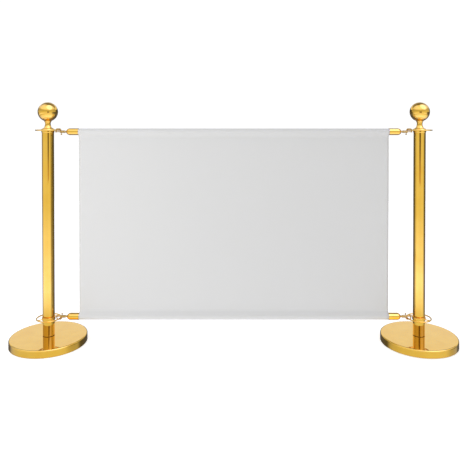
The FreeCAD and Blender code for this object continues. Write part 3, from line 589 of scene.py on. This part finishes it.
def stitches_tree():
    """Row of short stitches between two points, each a little askew."""
    tree, given = new_tree("Row of stitches", [
        ("Start", "Vector"), ("End", "Vector"), ("Spacing", "Float"), ("Thread", "Float"),
        ("Seed", "Int"), ("Material", "Material")])
    line = add(tree, "GeometryNodeCurvePrimitiveLine",
               {"Start": given["Start"], "End": given["End"]})
    points = add(tree, "GeometryNodeCurveToPoints", {"Curve": line.outputs[0],
                                                     "Length": given["Spacing"]}, mode="LENGTH")
    ball = add(tree, "GeometryNodeMeshUVSphere", {"Segments": 6, "Rings": 4, "Radius": 0.5})
    smooth = add(tree, "GeometryNodeSetShadeSmooth", {"Geometry": ball.outputs[0]})
    run = add(tree, "ShaderNodeMath", {0: given["Spacing"], 1: 0.8}, operation="MULTIPLY")
    size = add(tree, "ShaderNodeCombineXYZ", {"X": given["Thread"], "Y": given["Thread"],
                                              "Z": run.outputs[0]})
    askew = add(tree, "FunctionNodeRandomValue", {
        0: (-0.06, -0.06, -0.06), 1: (0.06, 0.06, 0.06), "Seed": given["Seed"]},
        data_type="FLOAT_VECTOR")
    aim = add(tree, "FunctionNodeRotateRotation", {"Rotation": points.outputs["Rotation"],
                                                   "Rotate By": askew.outputs[0]},
              rotation_space="LOCAL")
    copies = add(tree, "GeometryNodeInstanceOnPoints", {
        "Points": points.outputs[0], "Instance": smooth.outputs[0],
        "Rotation": aim.outputs[0], "Scale": size.outputs[0]})
    close_tree(tree, copies.outputs[0], given)
    return tree


# --- base and post ---


def build_base(side):
    """Spun cover over the iron weight, and the gasket that shows under the post."""
    sizes = metal()
    node, x, body = f"{side}_base_cover", post_x(side), f"{side}_post"
    radius, low, high = across(node), bottom(node), top(node)
    wall, edge = sizes.cover_wall, sizes.soft_edge
    inner, foot = sizes.shoulder - wall, wall * 0.4
    outline = rounded([
        (sizes.cover_hole, high, edge), (radius, high, sizes.shoulder), (radius, low, foot),
        (radius - wall, low, foot), (radius - wall, high - wall, inner),
        (sizes.cover_hole, high - wall, edge)], steps=10)
    turned_piece(f"{side}_cover", outline, standing(x), body, "polished_brass", [node],
                 around=2 * sizes.around)
    node = f"{side}_foot_gasket"
    radius, low, high = across(node), bottom(node), top(node)
    bead = (high - low) * 0.35
    outline = rounded([(sizes.cover_hole, low), (radius, low, bead), (radius, high, bead),
                       (sizes.cover_hole, high)], steps=4)
    turned_piece(f"{side}_gasket", outline, standing(x), body, "rubber", [node])


def build_tube(side):
    """Drawn tube with broken edges at both ends."""
    sizes, node = metal(), f"{side}_post_tube"
    radius, low, high = across(node), bottom(node), top(node)
    edge = sizes.soft_edge
    outline = rounded([(radius - sizes.tube_wall, low, edge), (radius, low, edge),
                       (radius, high, edge), (radius - sizes.tube_wall, high, edge)])
    turned_piece(f"{side}_tube", outline, standing(post_x(side)), f"{side}_post",
                 "polished_brass", [node])


def build_finial(side):
    """Waisted neck with a cup, and the hollow ball that sits in it."""
    sizes, x, body = metal(), post_x(side), f"{side}_post"
    neck, ball = f"{side}_finial_neck", f"{side}_finial_ball"
    hole, edge = sizes.stud_hole, sizes.soft_edge
    radius = across(ball)
    centre = top(ball) - radius
    seat = radius + 0.1 * MM
    foot, low = across(neck), bottom(neck)
    lip, waist_radius, waist = 1.5 * MM, 11 * MM, centre - radius - 9 * MM
    cup = sqrt(seat ** 2 - (centre - top(neck)) ** 2)
    flare, hollow = 30 * MM, 16 * MM
    start = degrees(asin((low + lip - waist) / flare))
    ledge = waist_radius + flare - flare * cos(radians(start))
    end = degrees(acos((waist_radius + hollow - cup) / hollow))
    outline = rounded([(hole, low), (foot, low, edge), (foot, low + lip, edge * 1.5),
                       (ledge, low + lip)], closed=False)
    outline += arc((waist_radius + flare, waist), flare, 180 - start, 180, 18)
    outline += arc((waist_radius + hollow, waist), hollow, 180, 180 - end, 14)[1:]
    rim = Vector((cup, top(neck)))
    outline += [rim - Vector((0, edge)), rim - Vector((edge * 0.3, edge * 0.2))]
    cup_start = -degrees(acos((cup - edge) / seat))
    outline += arc((0, centre), seat, cup_start, -degrees(acos(hole / seat)), 10)
    turned_piece(f"{side}_neck", outline, standing(x), body, "polished_brass", [neck])
    inside, boss, boss_top = radius - sizes.ball_wall, 9 * MM, centre - radius + 18 * MM
    outline = arc((0, centre), radius, 90, -degrees(acos(hole / radius)), 72)
    outline[0].x = 0
    outline += [Vector((hole, boss_top)), Vector((boss, boss_top))]
    outline += arc((0, centre), inside, -degrees(acos(boss / inside)), 90, 40)
    outline[-1].x = 0
    turned_piece(f"{side}_ball", outline, standing(x), body, "polished_brass", [ball])


def build_spokes(name, start, end, tree):
    """Four spokes that flare where they are brazed to the collar and to the hoop."""
    sizes = metal()
    radius, braze = sizes.spoke_wire / 2, sizes.braze
    outline = [Vector((0, start)), Vector((radius + braze, start))]
    flare = 1.9 * MM
    for step in range(1, 9):
        t = step / 8
        outline.append(Vector((radius + braze * (1 - t) ** 2, start + flare * t)))
    for step in range(9):
        t = step / 8
        outline.append(Vector((radius + braze * t ** 2, end - flare * (1 - t))))
    outline += [Vector((radius + braze, end + flare)), Vector((0, end + flare))]
    spoke = finish_mesh(f"{name}_spoke", turned(
        outline, lambda r, turn, along: (along, r * sin(turn), r * cos(turn)), around=32))
    copies = grow(f"{name}_spokes", tree, spoke=spoke, count=sizes.spokes,
                  first_angle=pi / sizes.spokes, material=FINISHES["polished_brass"])
    bpy.data.objects.remove(spoke)
    return copies


def build_ring(side, level, tree):
    """Hoop on spokes: the upper one grows from a turned bead, the lower one from a collar."""
    sizes, node, x = metal(), f"{side}_{level}_ring", post_x(side)
    wire, edge = sizes.hoop_wire / 2, sizes.soft_edge
    hoop_radius = across(node) - wire
    low, high = bottom(node), top(node)
    tube = across(f"{side}_post_tube")
    if level == "upper":
        plane, collar = low + 10.5 * MM, tube + 1.75 * MM
        step_in, lip, cap_height, neck_seat = 0.2 * MM, 4 * MM, 8 * MM, 20 * MM
        outline = [Vector((sizes.stud_hole, low)), Vector((tube - step_in, low))]
        for step in range(9):  # rounded lower lip
            t = step / 8 * pi / 2
            outline.append(Vector((tube + (collar - tube) * sin(t), low + lip * (1 - cos(t)))))
        shoulder = high - cap_height
        outline.append(Vector((collar, shoulder)))
        for step in range(1, 15):  # upper round, down to the foot of the neck
            t = step / 14 * pi / 2
            outline.append(Vector((collar - (collar - neck_seat) * (1 - cos(t)),
                                   shoulder + (high - shoulder) * sin(t))))
        outline += [Vector((neck_seat - 0.5 * MM, high)), Vector((sizes.stud_hole, high))]
    else:
        plane, collar = (low + high) / 2, tube + 2.75 * MM
        bore, bevel = tube + 0.05 * MM, 1.1 * MM
        outline = rounded([(bore, low, edge), (collar, low, bevel), (collar, high, bevel),
                           (bore, high, edge)])
    middle_piece = turned(outline, standing(0), around=sizes.around)
    section = arc((hoop_radius, plane), wire, 0, 345, 23)
    hoop = turned(section, standing(0), around=sizes.around)
    into_collar, into_hoop = 0.25 * MM, 0.35 * MM  # overlap that the union needs
    spokes = build_spokes(node, collar - into_collar, hoop_radius - wire + into_hoop, tree)
    spokes.data.transform(Matrix.Translation((0, 0, plane)))
    piece = fuse(f"{side}_{level}_hoop", [middle_piece, hoop, spokes])
    piece.data.transform(Matrix.Translation((x, 0, 0)))
    settle(piece, f"{side}_post", "polished_brass", [node])


# --- caps and hooks ---


def build_cap(corner):
    """Bullet-nosed cap, bored for its rod and for the swivel nut."""
    node = f"{corner}_end_cap"
    start, end = from_post(node, corner)
    radius, edge = across(node, 1), metal().soft_edge
    bore, swivel, cavity = 12.55 * MM, 3.06 * MM, 6.47 * MM
    face, nose, front, socket = 4.5 * MM, 16 * MM, 7 * MM, 30 * MM
    rise = nose - radius + face
    nose_end = start + sqrt(nose ** 2 - rise ** 2)
    centre = (radius - nose, nose_end)
    first = degrees(asin((start - nose_end) / nose))
    outline = [Vector((swivel, start)), Vector((face - edge, start)),
               Vector((face, start + edge * 0.4))]
    outline += arc(centre, nose, first + 2, 0, 20)
    bevel = 0.6 * MM
    outline += rounded([(radius, nose_end), (radius, end, bevel), (bore, end, edge),
                        (bore, end - socket)], closed=False)[1:]
    outline += [Vector((cavity, end - socket)), Vector((cavity, start + front)),
                Vector((swivel, start + front))]
    turned_piece(f"{corner}_cap", outline, lying(corner), "panel", "polished_brass", [node],
                 around=96)


def helix(radius, start, end, turns, per_turn=24):
    """Points of a compression spring's wire, (along, across, up). Its first and last turns are
    closed, with hardly any rise, as they are on a ground spring."""
    count = int(turns * per_turn)
    flat, flat_rise = 0.75, 0.04  # turns closed at each end, and the share that they climb
    points = []
    for i in range(count + 1):
        turn = i / per_turn
        rise = min(max((turn - flat) / (turns - 2 * flat), 0.0), 1.0)
        along = start + (end - start) * (flat_rise * turn / turns + (1 - flat_rise) * rise)
        points.append(Vector((along, radius * cos(2 * pi * turn), radius * sin(2 * pi * turn))))
    return points


def swept(way, radius, sides, place):
    """Bmesh of a round wire along points, with closed flat ends."""
    shape = bmesh.new()
    uv = shape.loops.layers.uv.new("along_surface")
    rows, run = [], 0.0
    for i, point in enumerate(way):
        ahead = (way[min(i + 1, len(way) - 1)] - way[max(i - 1, 0)]).normalized()
        out = Vector((0, point.y, point.z)).normalized()
        side = ahead.cross(out)
        if i:
            run += (point - way[i - 1]).length
        ring = []
        for k in range(sides):
            turn = 2 * pi * k / sides
            ring.append(shape.verts.new(place(point + out * radius * cos(turn)
                                              + side * radius * sin(turn))))
        rows.append((ring, run))
    for (one, near), (two, far) in zip(rows, rows[1:]):
        for k in range(sides):
            n = (k + 1) % sides
            step = 2 * pi * radius / sides
            add_face(shape, uv, (one[k], one[n], two[n], two[k]),
                     [(step * k, near), (step * (k + 1), near), (step * (k + 1), far),
                      (step * k, far)])
    shape.faces.new(rows[0][0])
    shape.faces.new(rows[-1][0])
    bmesh.ops.recalc_face_normals(shape, faces=shape.faces)
    return shape


def build_spring(corner):
    """Compression spring behind the latch, which the thumb knob squeezes as it draws the latch
    back; it is wound to the length of its part.
    """
    node = f"{corner}_latch_spring"
    start, end = from_post(node, corner)
    wire = metal().spring_wire / 2
    radius = across(node, 2) - wire
    x, z, way = post_x(side_of(corner)), rod_z(corner), inwards(corner)
    points = helix(radius, start + wire, end - wire, metal().spring_turns)
    piece = finish_mesh(f"{corner}_spring", swept(
        points, wire, 10, lambda p: (x + way * p.x, p.y, z + p.z)))
    settle(piece, f"{corner}_hook", "spring_steel", [node])
    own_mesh(piece)


# --- banner ---


def billow(x, z, half_width, low, high):
    """How far the hanging cloth stands out of flat: slow swells, and puckers at the seams."""
    depth = cloth().billow
    share = (z - low) / (high - low)
    if not 0 < share < 1:
        return 0.0
    calm = sin(pi * share) ** 0.6
    u = x / half_width
    swell = (0.5 * sin(3.1 * u + 0.7) + 0.3 * sin(5.3 * u - 1.9 + 2 * share)
             + 0.2 * sin(9.0 * u + 3.0 * share))
    pucker_reach = 30 * MM
    near = min(share, 1 - share) * (high - low) / pucker_reach
    pucker = 0.12 * sin(u * 61 + 2 * sin(u * 17)) * near * 2.718 ** (1 - near)
    return depth * (calm * swell + pucker)


def banner_way(back, upper, lower, radius, drop, hem):
    """Section of the cloth, from the hem behind the upper pocket to the one behind the lower."""
    reach = degrees(acos(radius / drop))  # pocket's tangent points, from straight down
    few, around_rod, rows = 4, 40, 84  # steps of a hem, of a pocket and of the open cloth
    way = [Vector((back, upper - drop - hem + i * hem / few)) for i in range(few + 1)]
    arms = arc((0, upper), radius, -90 + reach, 270 - reach, around_rod)
    way += [way[-1].lerp(arms[0], i / few) for i in range(1, few)] + arms
    seam = Vector((0, upper - drop))
    way += [arms[-1].lerp(seam, i / few) for i in range(1, few + 1)]
    floor_seam = Vector((0, lower + drop))
    way += [seam.lerp(floor_seam, i / rows) for i in range(1, rows + 1)]
    arms = arc((0, lower), radius, 90 + reach, 450 - reach, around_rod)
    way += [floor_seam.lerp(arms[0], i / few) for i in range(1, few)] + arms
    last = Vector((back, lower + drop))
    way += [arms[-1].lerp(last, i / few) for i in range(1, few + 1)]
    way += [Vector((back, lower + drop + i * hem / few)) for i in range(1, few + 1)]
    return way


def build_banner(tree):
    """Sewn cloth with a pocket round each rod, hems, and its rows of stitches."""
    sizes = cloth()
    low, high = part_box("banner")
    half = high.x
    thick = sizes.cloth
    upper, lower = middle("upper_rod", 2), middle("lower_rod", 2)
    radius = (high.y - low.y) / 2 - thick / 2
    drop = sizes.seam_drop
    back = thick + 0.02 * MM
    way = banner_way(back, upper, lower, radius, drop, sizes.hem)
    panel_low, panel_high = lower + drop, upper - drop
    columns = 160
    shape = bmesh.new()
    uv = shape.loops.layers.uv.new("along_surface")
    run, rows = [0.0], []
    for i, point in enumerate(way):
        if i:
            run.append(run[-1] + (point - way[i - 1]).length)
        row = []
        for k in range(columns + 1):
            x = -half + 2 * half * k / columns
            y = point.x + billow(x, point.y, half, panel_low, panel_high)
            row.append(shape.verts.new((x, y, point.y)))
        rows.append(row)
    for i in range(len(way) - 1):
        for k in range(columns):
            left, right = 2 * half * k / columns, 2 * half * (k + 1) / columns
            add_face(shape, uv,
                     (rows[i][k], rows[i][k + 1], rows[i + 1][k + 1], rows[i + 1][k]),
                     [(left, run[i]), (right, run[i]), (right, run[i + 1]), (left, run[i + 1])])
    add_side_hems(shape, uv, half, back, panel_low + sizes.hem, panel_high - sizes.hem,
                  panel_low, panel_high)
    bmesh.ops.recalc_face_normals(shape, faces=shape.faces)
    piece = finish_mesh("banner_sheet", shape, sharp=60)
    wall = piece.modifiers.new("thickness", "SOLIDIFY")
    wall.thickness = thick
    wall.offset = 0
    wall.use_even_offset = True
    mesh = evaluated_mesh(piece, "banner_sheet")
    piece.data = mesh
    settle(piece, "panel", "banner_cloth", ["banner"])
    stitching = build_stitching(tree, half, back, panel_low, panel_high)


def add_side_hems(shape, uv, half, back, low, high, panel_low, panel_high):
    """Strips of cloth folded behind the banner's side edges."""
    width, rows = cloth().side_hem, 90
    for way in (-1, 1):
        edges = []
        for i in range(rows + 1):
            z = low + (high - low) * i / rows
            pair = []
            for x in (way * (half - 0.1 * MM), way * (half - width)):
                y = back + billow(x, z, half, panel_low, panel_high)
                pair.append(shape.verts.new((x, y, z)))
            edges.append((pair, z))
        for (one, z1), (two, z2) in zip(edges, edges[1:]):
            add_face(shape, uv, (one[0], one[1], two[1], two[0]),
                     [(0, z1), (width, z1), (width, z2), (0, z2)])


def build_stitching(tree, half, back, panel_low, panel_high):
    """Two rows under each pocket and one in each side hem, on both faces."""
    sizes = cloth()
    front_face, back_face = -sizes.cloth / 2, back + sizes.cloth / 2
    margin, at_seam, at_hem, clear = 2 * MM, 1 * MM, 9 * MM, 14 * MM
    rows = [(-half + margin, z, half - margin, z) for z in (
        panel_high - at_seam, panel_high - at_hem, panel_low + at_seam, panel_low + at_hem)]
    for way in (-1, 1):
        x = way * (half - sizes.side_hem + margin)
        rows.append((x, panel_low + clear, x, panel_high - clear))
    pieces = []
    for y in (front_face, back_face):
        for number, (x1, z1, x2, z2) in enumerate(rows):
            pieces.append(grow(f"row_{len(pieces)}", tree, start=(x1, y, z1), end=(x2, y, z2),
                               spacing=sizes.stitch, thread=sizes.thread,
                               seed=sizes.seed + number, material=FINISHES["thread"]))
    shape = bmesh.new()
    for piece in pieces:
        shape.from_mesh(piece.data)
        bpy.data.objects.remove(piece)
    for vert in shape.verts:
        vert.co.y += billow(vert.co.x, vert.co.z, half, panel_low, panel_high)
    stitching = finish_mesh("banner_stitching", shape, sharp=80)
    return settle(stitching, "panel", "banner_cloth", finish="thread")


# --- parts that keep their own shape ---


# The finish of each kept part, by the end of its name
KEPT_FINISHES = {
    "base_weight": "cast_iron", "floor_ring": "rubber", "base_bolt": "zinc_steel",
    "base_washer": "zinc_steel", "foot_plug": "plug_steel", "top_plug": "plug_steel",
    "finial_stud": "zinc_steel", "ring_screws": "zinc_steel", "_hook": "cast_brass",
    "latch_bolt": "cast_brass", "thumb_knob": "cast_brass", "swivel_nut": "zinc_steel",
    "_rod": "rod_aluminium",
}


def finish_kept_parts():
    """Give every part that is still shown its own finish."""
    for name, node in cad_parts.items():
        if node.hide_render:
            continue
        finish = next((key for end, key in KEPT_FINISHES.items() if name.endswith(end)), None)
        if finish is None:
            raise RuntimeError(f"no finish for {name}")
        if not node.material_slots:
            node.data.materials.append(FINISHES[finish])
        for holder in node.material_slots:
            holder.material = FINISHES[finish]


# --- stage ---


def build_floor():
    """Pale studio floor: matt, with the faintest mottling."""
    shape = bmesh.new()
    bmesh.ops.create_grid(shape, x_segments=8, y_segments=8, size=4)
    floor = finish_mesh("studio_floor", shape)
    material, tree, spot = new_material("matt_white_floor")
    mottle = lumps(tree, spot["Object"], 300 * MM, 2)
    surface(tree, {"Roughness": 0.9, "Specular IOR Level": 0.1,
                   "Emission Color": (1, 1, 1, 1), "Emission Strength": 0.42},
            (mottle, colour("#F5F5F5"), colour("#F8F8F8")))
    floor.data.materials.append(material)
    floor.visible_glossy = False


def build_card(name, low, high, strength):
    """Upright flag, seen only in the polished metal. It is as bright as the room at its foot and
    dims to a strength halfway up."""
    shape = bmesh.new()
    corners = [(low[0], low[1], low[2]), (high[0], high[1], low[2]), (high[0], high[1], high[2]),
               (low[0], low[1], high[2])]
    shape.faces.new([shape.verts.new(c) for c in corners])
    card = finish_mesh(name, shape)
    material, tree, spot = new_material(name)
    height = add(tree, "ShaderNodeSeparateXYZ", {"Vector": spot["Object"]})
    fade = add(tree, "ShaderNodeMapRange", {
        "Value": height.outputs["Z"], "From Min": low[2], "From Max": (low[2] + high[2]) / 2,
        "To Min": 1.0, "To Max": strength}, interpolation_type="SMOOTHSTEP")
    glow = add(tree, "ShaderNodeEmission", {"Color": colour("#D8C0AE"),
                                            "Strength": fade.outputs[0]})
    add(tree, "ShaderNodeOutputMaterial", {"Surface": glow.outputs[0]})
    card.data.materials.append(material)
    for ray in ("camera", "diffuse", "shadow", "transmission"):
        setattr(card, f"visible_{ray}", False)


# Strength of the room as the metal mirrors it, by bearing in degrees from straight in front (+ is
# towards +X): in the low band that the tubes mirror, and elsewhere.
LOW_ROUND = [(-180, 0.12), (-115, 0.14), (-95, 0.8), (-60, 1.0), (0, 0.95), (40, 1.0),
             (62, 0.85), (85, 0.14), (180, 0.12)]
HIGH_ROUND = [(-180, 0.1), (-128, 0.12), (-108, 0.75), (-60, 0.9), (0, 1.0), (60, 1.0),
              (108, 0.75), (128, 0.12), (180, 0.1)]
# The same by height in degrees above the horizon
LOW_BAND = [(-25, 0.0), (-21, 0.35), (-17, 1.0), (-2, 1.0), (2, 0.0)]
ROOM_HEIGHT = [(-80, 1.3), (-60, 1.5), (-32, 1.3), (-25, 0.9), (-20, 0.92), (-16.5, 1.5),
               (-13, 1.25), (-8, 1.0), (0, 0.93), (8, 0.8), (20, 0.72), (32, 1.4), (60, 1.5),
               (80, 1.2)]
WINDOW_HEIGHT = [(-10, 0.0), (12, 0.05), (16, 0.97), (26, 0.97), (34, 0.42), (60, 0.35), (80, 0.3)]
SOFT_BOX_WAY = (0.41, -0.41, 0.81)


def shade(value):
    """Grey up to 1. Brighter light turns cooler, which pales the gold that mirrors it."""
    cool = max(0.0, value - 1)
    return (value, value + 0.2 * cool, value + 3 * cool, 1)


def build_room():
    """Soft room: pale in front, dark at the far sides and behind, with a soft box high on the
    right and a long window low behind. The metal mirrors it, the cloth and the floor get an even
    light, and the camera sees plain white."""
    world = bpy.data.worlds.new("studio")
    bpy.context.scene.world = world
    world.use_nodes = True
    tree = world.node_tree
    tree.nodes.clear()
    way = add(tree, "ShaderNodeTexCoord").outputs["Generated"]
    parts = add(tree, "ShaderNodeSeparateXYZ", {"Vector": way})
    ahead = add(tree, "ShaderNodeMath", {0: parts.outputs["Y"], 1: -1.0}, operation="MULTIPLY")
    turn = add(tree, "ShaderNodeMath", {0: parts.outputs["X"], 1: ahead.outputs[0]},
               operation="ARCTAN2")
    bearing = add(tree, "ShaderNodeMapRange", {"Value": turn.outputs[0], "From Min": -pi,
                                               "From Max": pi}).outputs[0]
    height = add(tree, "ShaderNodeMapRange", {"Value": parts.outputs["Z"], "From Min": -1.0,
                                              "From Max": 1.0}).outputs[0]

    def light_by(share, place, stops):
        """Light that changes with the way one looks. Place turns an angle into a share."""
        node = add(tree, "ShaderNodeValToRGB", {"Fac": share},
                   stops=[(place(angle), shade(value)) for angle, value in stops])
        node.color_ramp.interpolation = "EASE"
        return node.outputs["Color"]

    def by_bearing(stops):
        return light_by(bearing, lambda angle: (angle + 180) / 360, stops)

    def by_height(stops):
        return light_by(height, lambda angle: (sin(radians(angle)) + 1) / 2, stops)

    around = add(tree, "ShaderNodeMix", {0: by_height(LOW_BAND), 6: by_bearing(HIGH_ROUND),
                                         7: by_bearing(LOW_ROUND)}, data_type="RGBA").outputs[2]
    walls = add(tree, "ShaderNodeVectorMath", {0: around, 1: by_height(ROOM_HEIGHT)},
                operation="MULTIPLY")
    behind = add(tree, "ShaderNodeMapRange", {"Value": parts.outputs["Y"], "From Min": 0.1,
                                              "From Max": 0.5})
    window = add(tree, "ShaderNodeMath", {0: by_height(WINDOW_HEIGHT), 1: behind.outputs[0]},
                 operation="MULTIPLY")
    towards = add(tree, "ShaderNodeVectorMath", {0: way, 1: SOFT_BOX_WAY}, operation="DOT_PRODUCT")
    near = add(tree, "ShaderNodeMapRange", {"Value": towards.outputs["Value"], "From Min": 0.72,
                                            "From Max": 0.97}, interpolation_type="SMOOTHSTEP")
    box = add(tree, "ShaderNodeMix", {0: near.outputs[0], 6: (0, 0, 0, 1), 7: shade(2.2)},
              data_type="RGBA")
    lights = add(tree, "ShaderNodeVectorMath", {0: window.outputs[0], 1: box.outputs[2]},
                 operation="MAXIMUM")
    room = add(tree, "ShaderNodeVectorMath", {0: walls.outputs[0], 1: lights.outputs[0]},
               operation="MAXIMUM")
    ray = add(tree, "ShaderNodeLightPath").outputs
    even = bpy.context.scene.barrier_stage.room
    unmirrored = add(tree, "ShaderNodeMix", {0: ray["Is Camera Ray"], 6: (even, even, even, 1),
                                             7: (1.05, 1.05, 1.05, 1)}, data_type="RGBA")
    seen = add(tree, "ShaderNodeMix", {0: ray["Is Glossy Ray"], 6: unmirrored.outputs[2],
                                       7: room.outputs[0]}, data_type="RGBA")
    light = add(tree, "ShaderNodeBackground", {"Color": seen.outputs[2]})
    add(tree, "ShaderNodeOutputWorld", {"Surface": light.outputs[0]})


def build_lamp(name, spot, aim, size, power):
    """Soft box that lights the cloth and the floor and isn't mirrored in the metal."""
    lamp = bpy.data.lights.new(name, "AREA")
    lamp.shape = "RECTANGLE"
    lamp.size, lamp.size_y = size
    lamp.energy = power
    holder = bpy.data.objects.new(name, lamp)
    bpy.context.scene.collection.objects.link(holder)
    holder.location = spot
    holder.rotation_euler = (Vector(aim) - Vector(spot)).to_track_quat("-Z", "Y").to_euler()
    holder.visible_glossy = False


def build_camera():
    sizes = bpy.context.scene.barrier_stage
    lens = bpy.data.cameras.new("camera")
    lens.sensor_width = 36
    lens.lens = sizes.lens
    lens.shift_y = sizes.rise
    camera = bpy.data.objects.new("camera", lens)
    bpy.context.scene.collection.objects.link(camera)
    camera.location = sizes.eye
    camera.rotation_euler = (pi / 2 - sizes.tilt, 0, 0)
    bpy.context.scene.camera = camera
    bpy.context.scene.view_settings.view_transform = "Standard"


# --- operators ---


class BARRIER_OT_finishes(bpy.types.Operator):
    """Make the materials of the metals, rubber, cloth and thread"""
    bl_idname = "barrier.finishes"
    bl_label = "Finishes"

    def execute(self, context):
        make_finishes()
        return {"FINISHED"}


class BARRIER_OT_bases(bpy.types.Operator):
    """Build the spun base covers and the gaskets under the posts"""
    bl_idname = "barrier.bases"
    bl_label = "Base covers"

    def execute(self, context):
        for side in SIDES:
            build_base(side)
        return {"FINISHED"}


class BARRIER_OT_tubes(bpy.types.Operator):
    """Build the two post tubes"""
    bl_idname = "barrier.tubes"
    bl_label = "Post tubes"

    def execute(self, context):
        for side in SIDES:
            build_tube(side)
        return {"FINISHED"}


class BARRIER_OT_finials(bpy.types.Operator):
    """Build the necks and the balls on top of the posts"""
    bl_idname = "barrier.finials"
    bl_label = "Finials"

    def execute(self, context):
        for side in SIDES:
            build_finial(side)
        return {"FINISHED"}


class BARRIER_OT_rings(bpy.types.Operator):
    """Build the four hoops that the hooks hang on"""
    bl_idname = "barrier.rings"
    bl_label = "Hoops"

    def execute(self, context):
        tree = spokes_tree()
        for side in SIDES:
            for level in ("upper", "lower"):
                build_ring(side, level, tree)
        return {"FINISHED"}


class BARRIER_OT_caps(bpy.types.Operator):
    """Build the bullet-nosed caps on the rods"""
    bl_idname = "barrier.caps"
    bl_label = "End caps"

    def execute(self, context):
        for corner in CORNERS:
            build_cap(corner)
        return {"FINISHED"}


class BARRIER_OT_springs(bpy.types.Operator):
    """Build the springs that shut the latches"""
    bl_idname = "barrier.springs"
    bl_label = "Latch springs"

    def execute(self, context):
        for corner in CORNERS:
            build_spring(corner)
        return {"FINISHED"}


class BARRIER_OT_banner(bpy.types.Operator):
    """Sew the banner: cloth, pockets, hems and stitches"""
    bl_idname = "barrier.banner"
    bl_label = "Banner"

    def execute(self, context):
        build_banner(stitches_tree())
        return {"FINISHED"}


class BARRIER_OT_kept_parts(bpy.types.Operator):
    """Give the parts that keep their own shape their finishes"""
    bl_idname = "barrier.kept_parts"
    bl_label = "Fittings"

    def execute(self, context):
        finish_kept_parts()
        return {"FINISHED"}


class BARRIER_OT_stage(bpy.types.Operator):
    """Set the floor, the room, the lamps and the camera"""
    bl_idname = "barrier.stage"
    bl_label = "Stage"

    def execute(self, context):
        build_floor()
        build_card("flag_by_camera", low=(-0.25, -2.4, 0.4), high=(0.95, -2.4, 1.1),
                   strength=0.25)
        build_room()
        build_lamp("overhead", spot=(0, -0.6, 3.0), aim=(0, 0, 0), size=(3.0, 2.0), power=12)
        build_lamp("from_the_left", spot=(-1.7, -1.5, 0.9), aim=(-0.3, 0, 0.5), size=(1.0, 1.0),
                   power=12)
        build_camera()
        return {"FINISHED"}


STEPS = (BARRIER_OT_finishes, BARRIER_OT_bases, BARRIER_OT_tubes, BARRIER_OT_finials,
         BARRIER_OT_rings, BARRIER_OT_caps, BARRIER_OT_springs, BARRIER_OT_banner,
         BARRIER_OT_kept_parts, BARRIER_OT_stage)


class BARRIER_PT_panel(bpy.types.Panel):
    """The barrier's sizes and building steps"""
    bl_idname = "BARRIER_PT_panel"
    bl_label = "Banner barrier"
    bl_space_type = "VIEW_3D"
    bl_region_type = "UI"
    bl_category = "Barrier"

    def draw(self, context):
        scene = context.scene
        for group in (scene.barrier_metal, scene.barrier_banner, scene.barrier_colours,
                      scene.barrier_stage):
            box = self.layout.box()
            for name in group.bl_rna.properties.keys():
                if name not in ("rna_type", "name"):
                    box.prop(group, name)
        for step in STEPS:
            self.layout.operator(step.bl_idname)


CLASSES = (BarrierMetalwork, BarrierBanner, BarrierColours, BarrierStage, *STEPS, BARRIER_PT_panel)


def register():
    for kind in CLASSES:
        bpy.utils.register_class(kind)
    bpy.types.Scene.barrier_metal = bpy.props.PointerProperty(type=BarrierMetalwork)
    bpy.types.Scene.barrier_banner = bpy.props.PointerProperty(type=BarrierBanner)
    bpy.types.Scene.barrier_colours = bpy.props.PointerProperty(type=BarrierColours)
    bpy.types.Scene.barrier_stage = bpy.props.PointerProperty(type=BarrierStage)


def unregister():
    del bpy.types.Scene.barrier_stage, bpy.types.Scene.barrier_colours
    del bpy.types.Scene.barrier_banner, bpy.types.Scene.barrier_metal
    for kind in reversed(CLASSES):
        bpy.utils.unregister_class(kind)


def main():
    register()
    for step in STEPS:
        getattr(bpy.ops.barrier, step.bl_idname.split(".")[1])()
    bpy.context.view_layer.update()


if __name__ == "__main__":
    main()
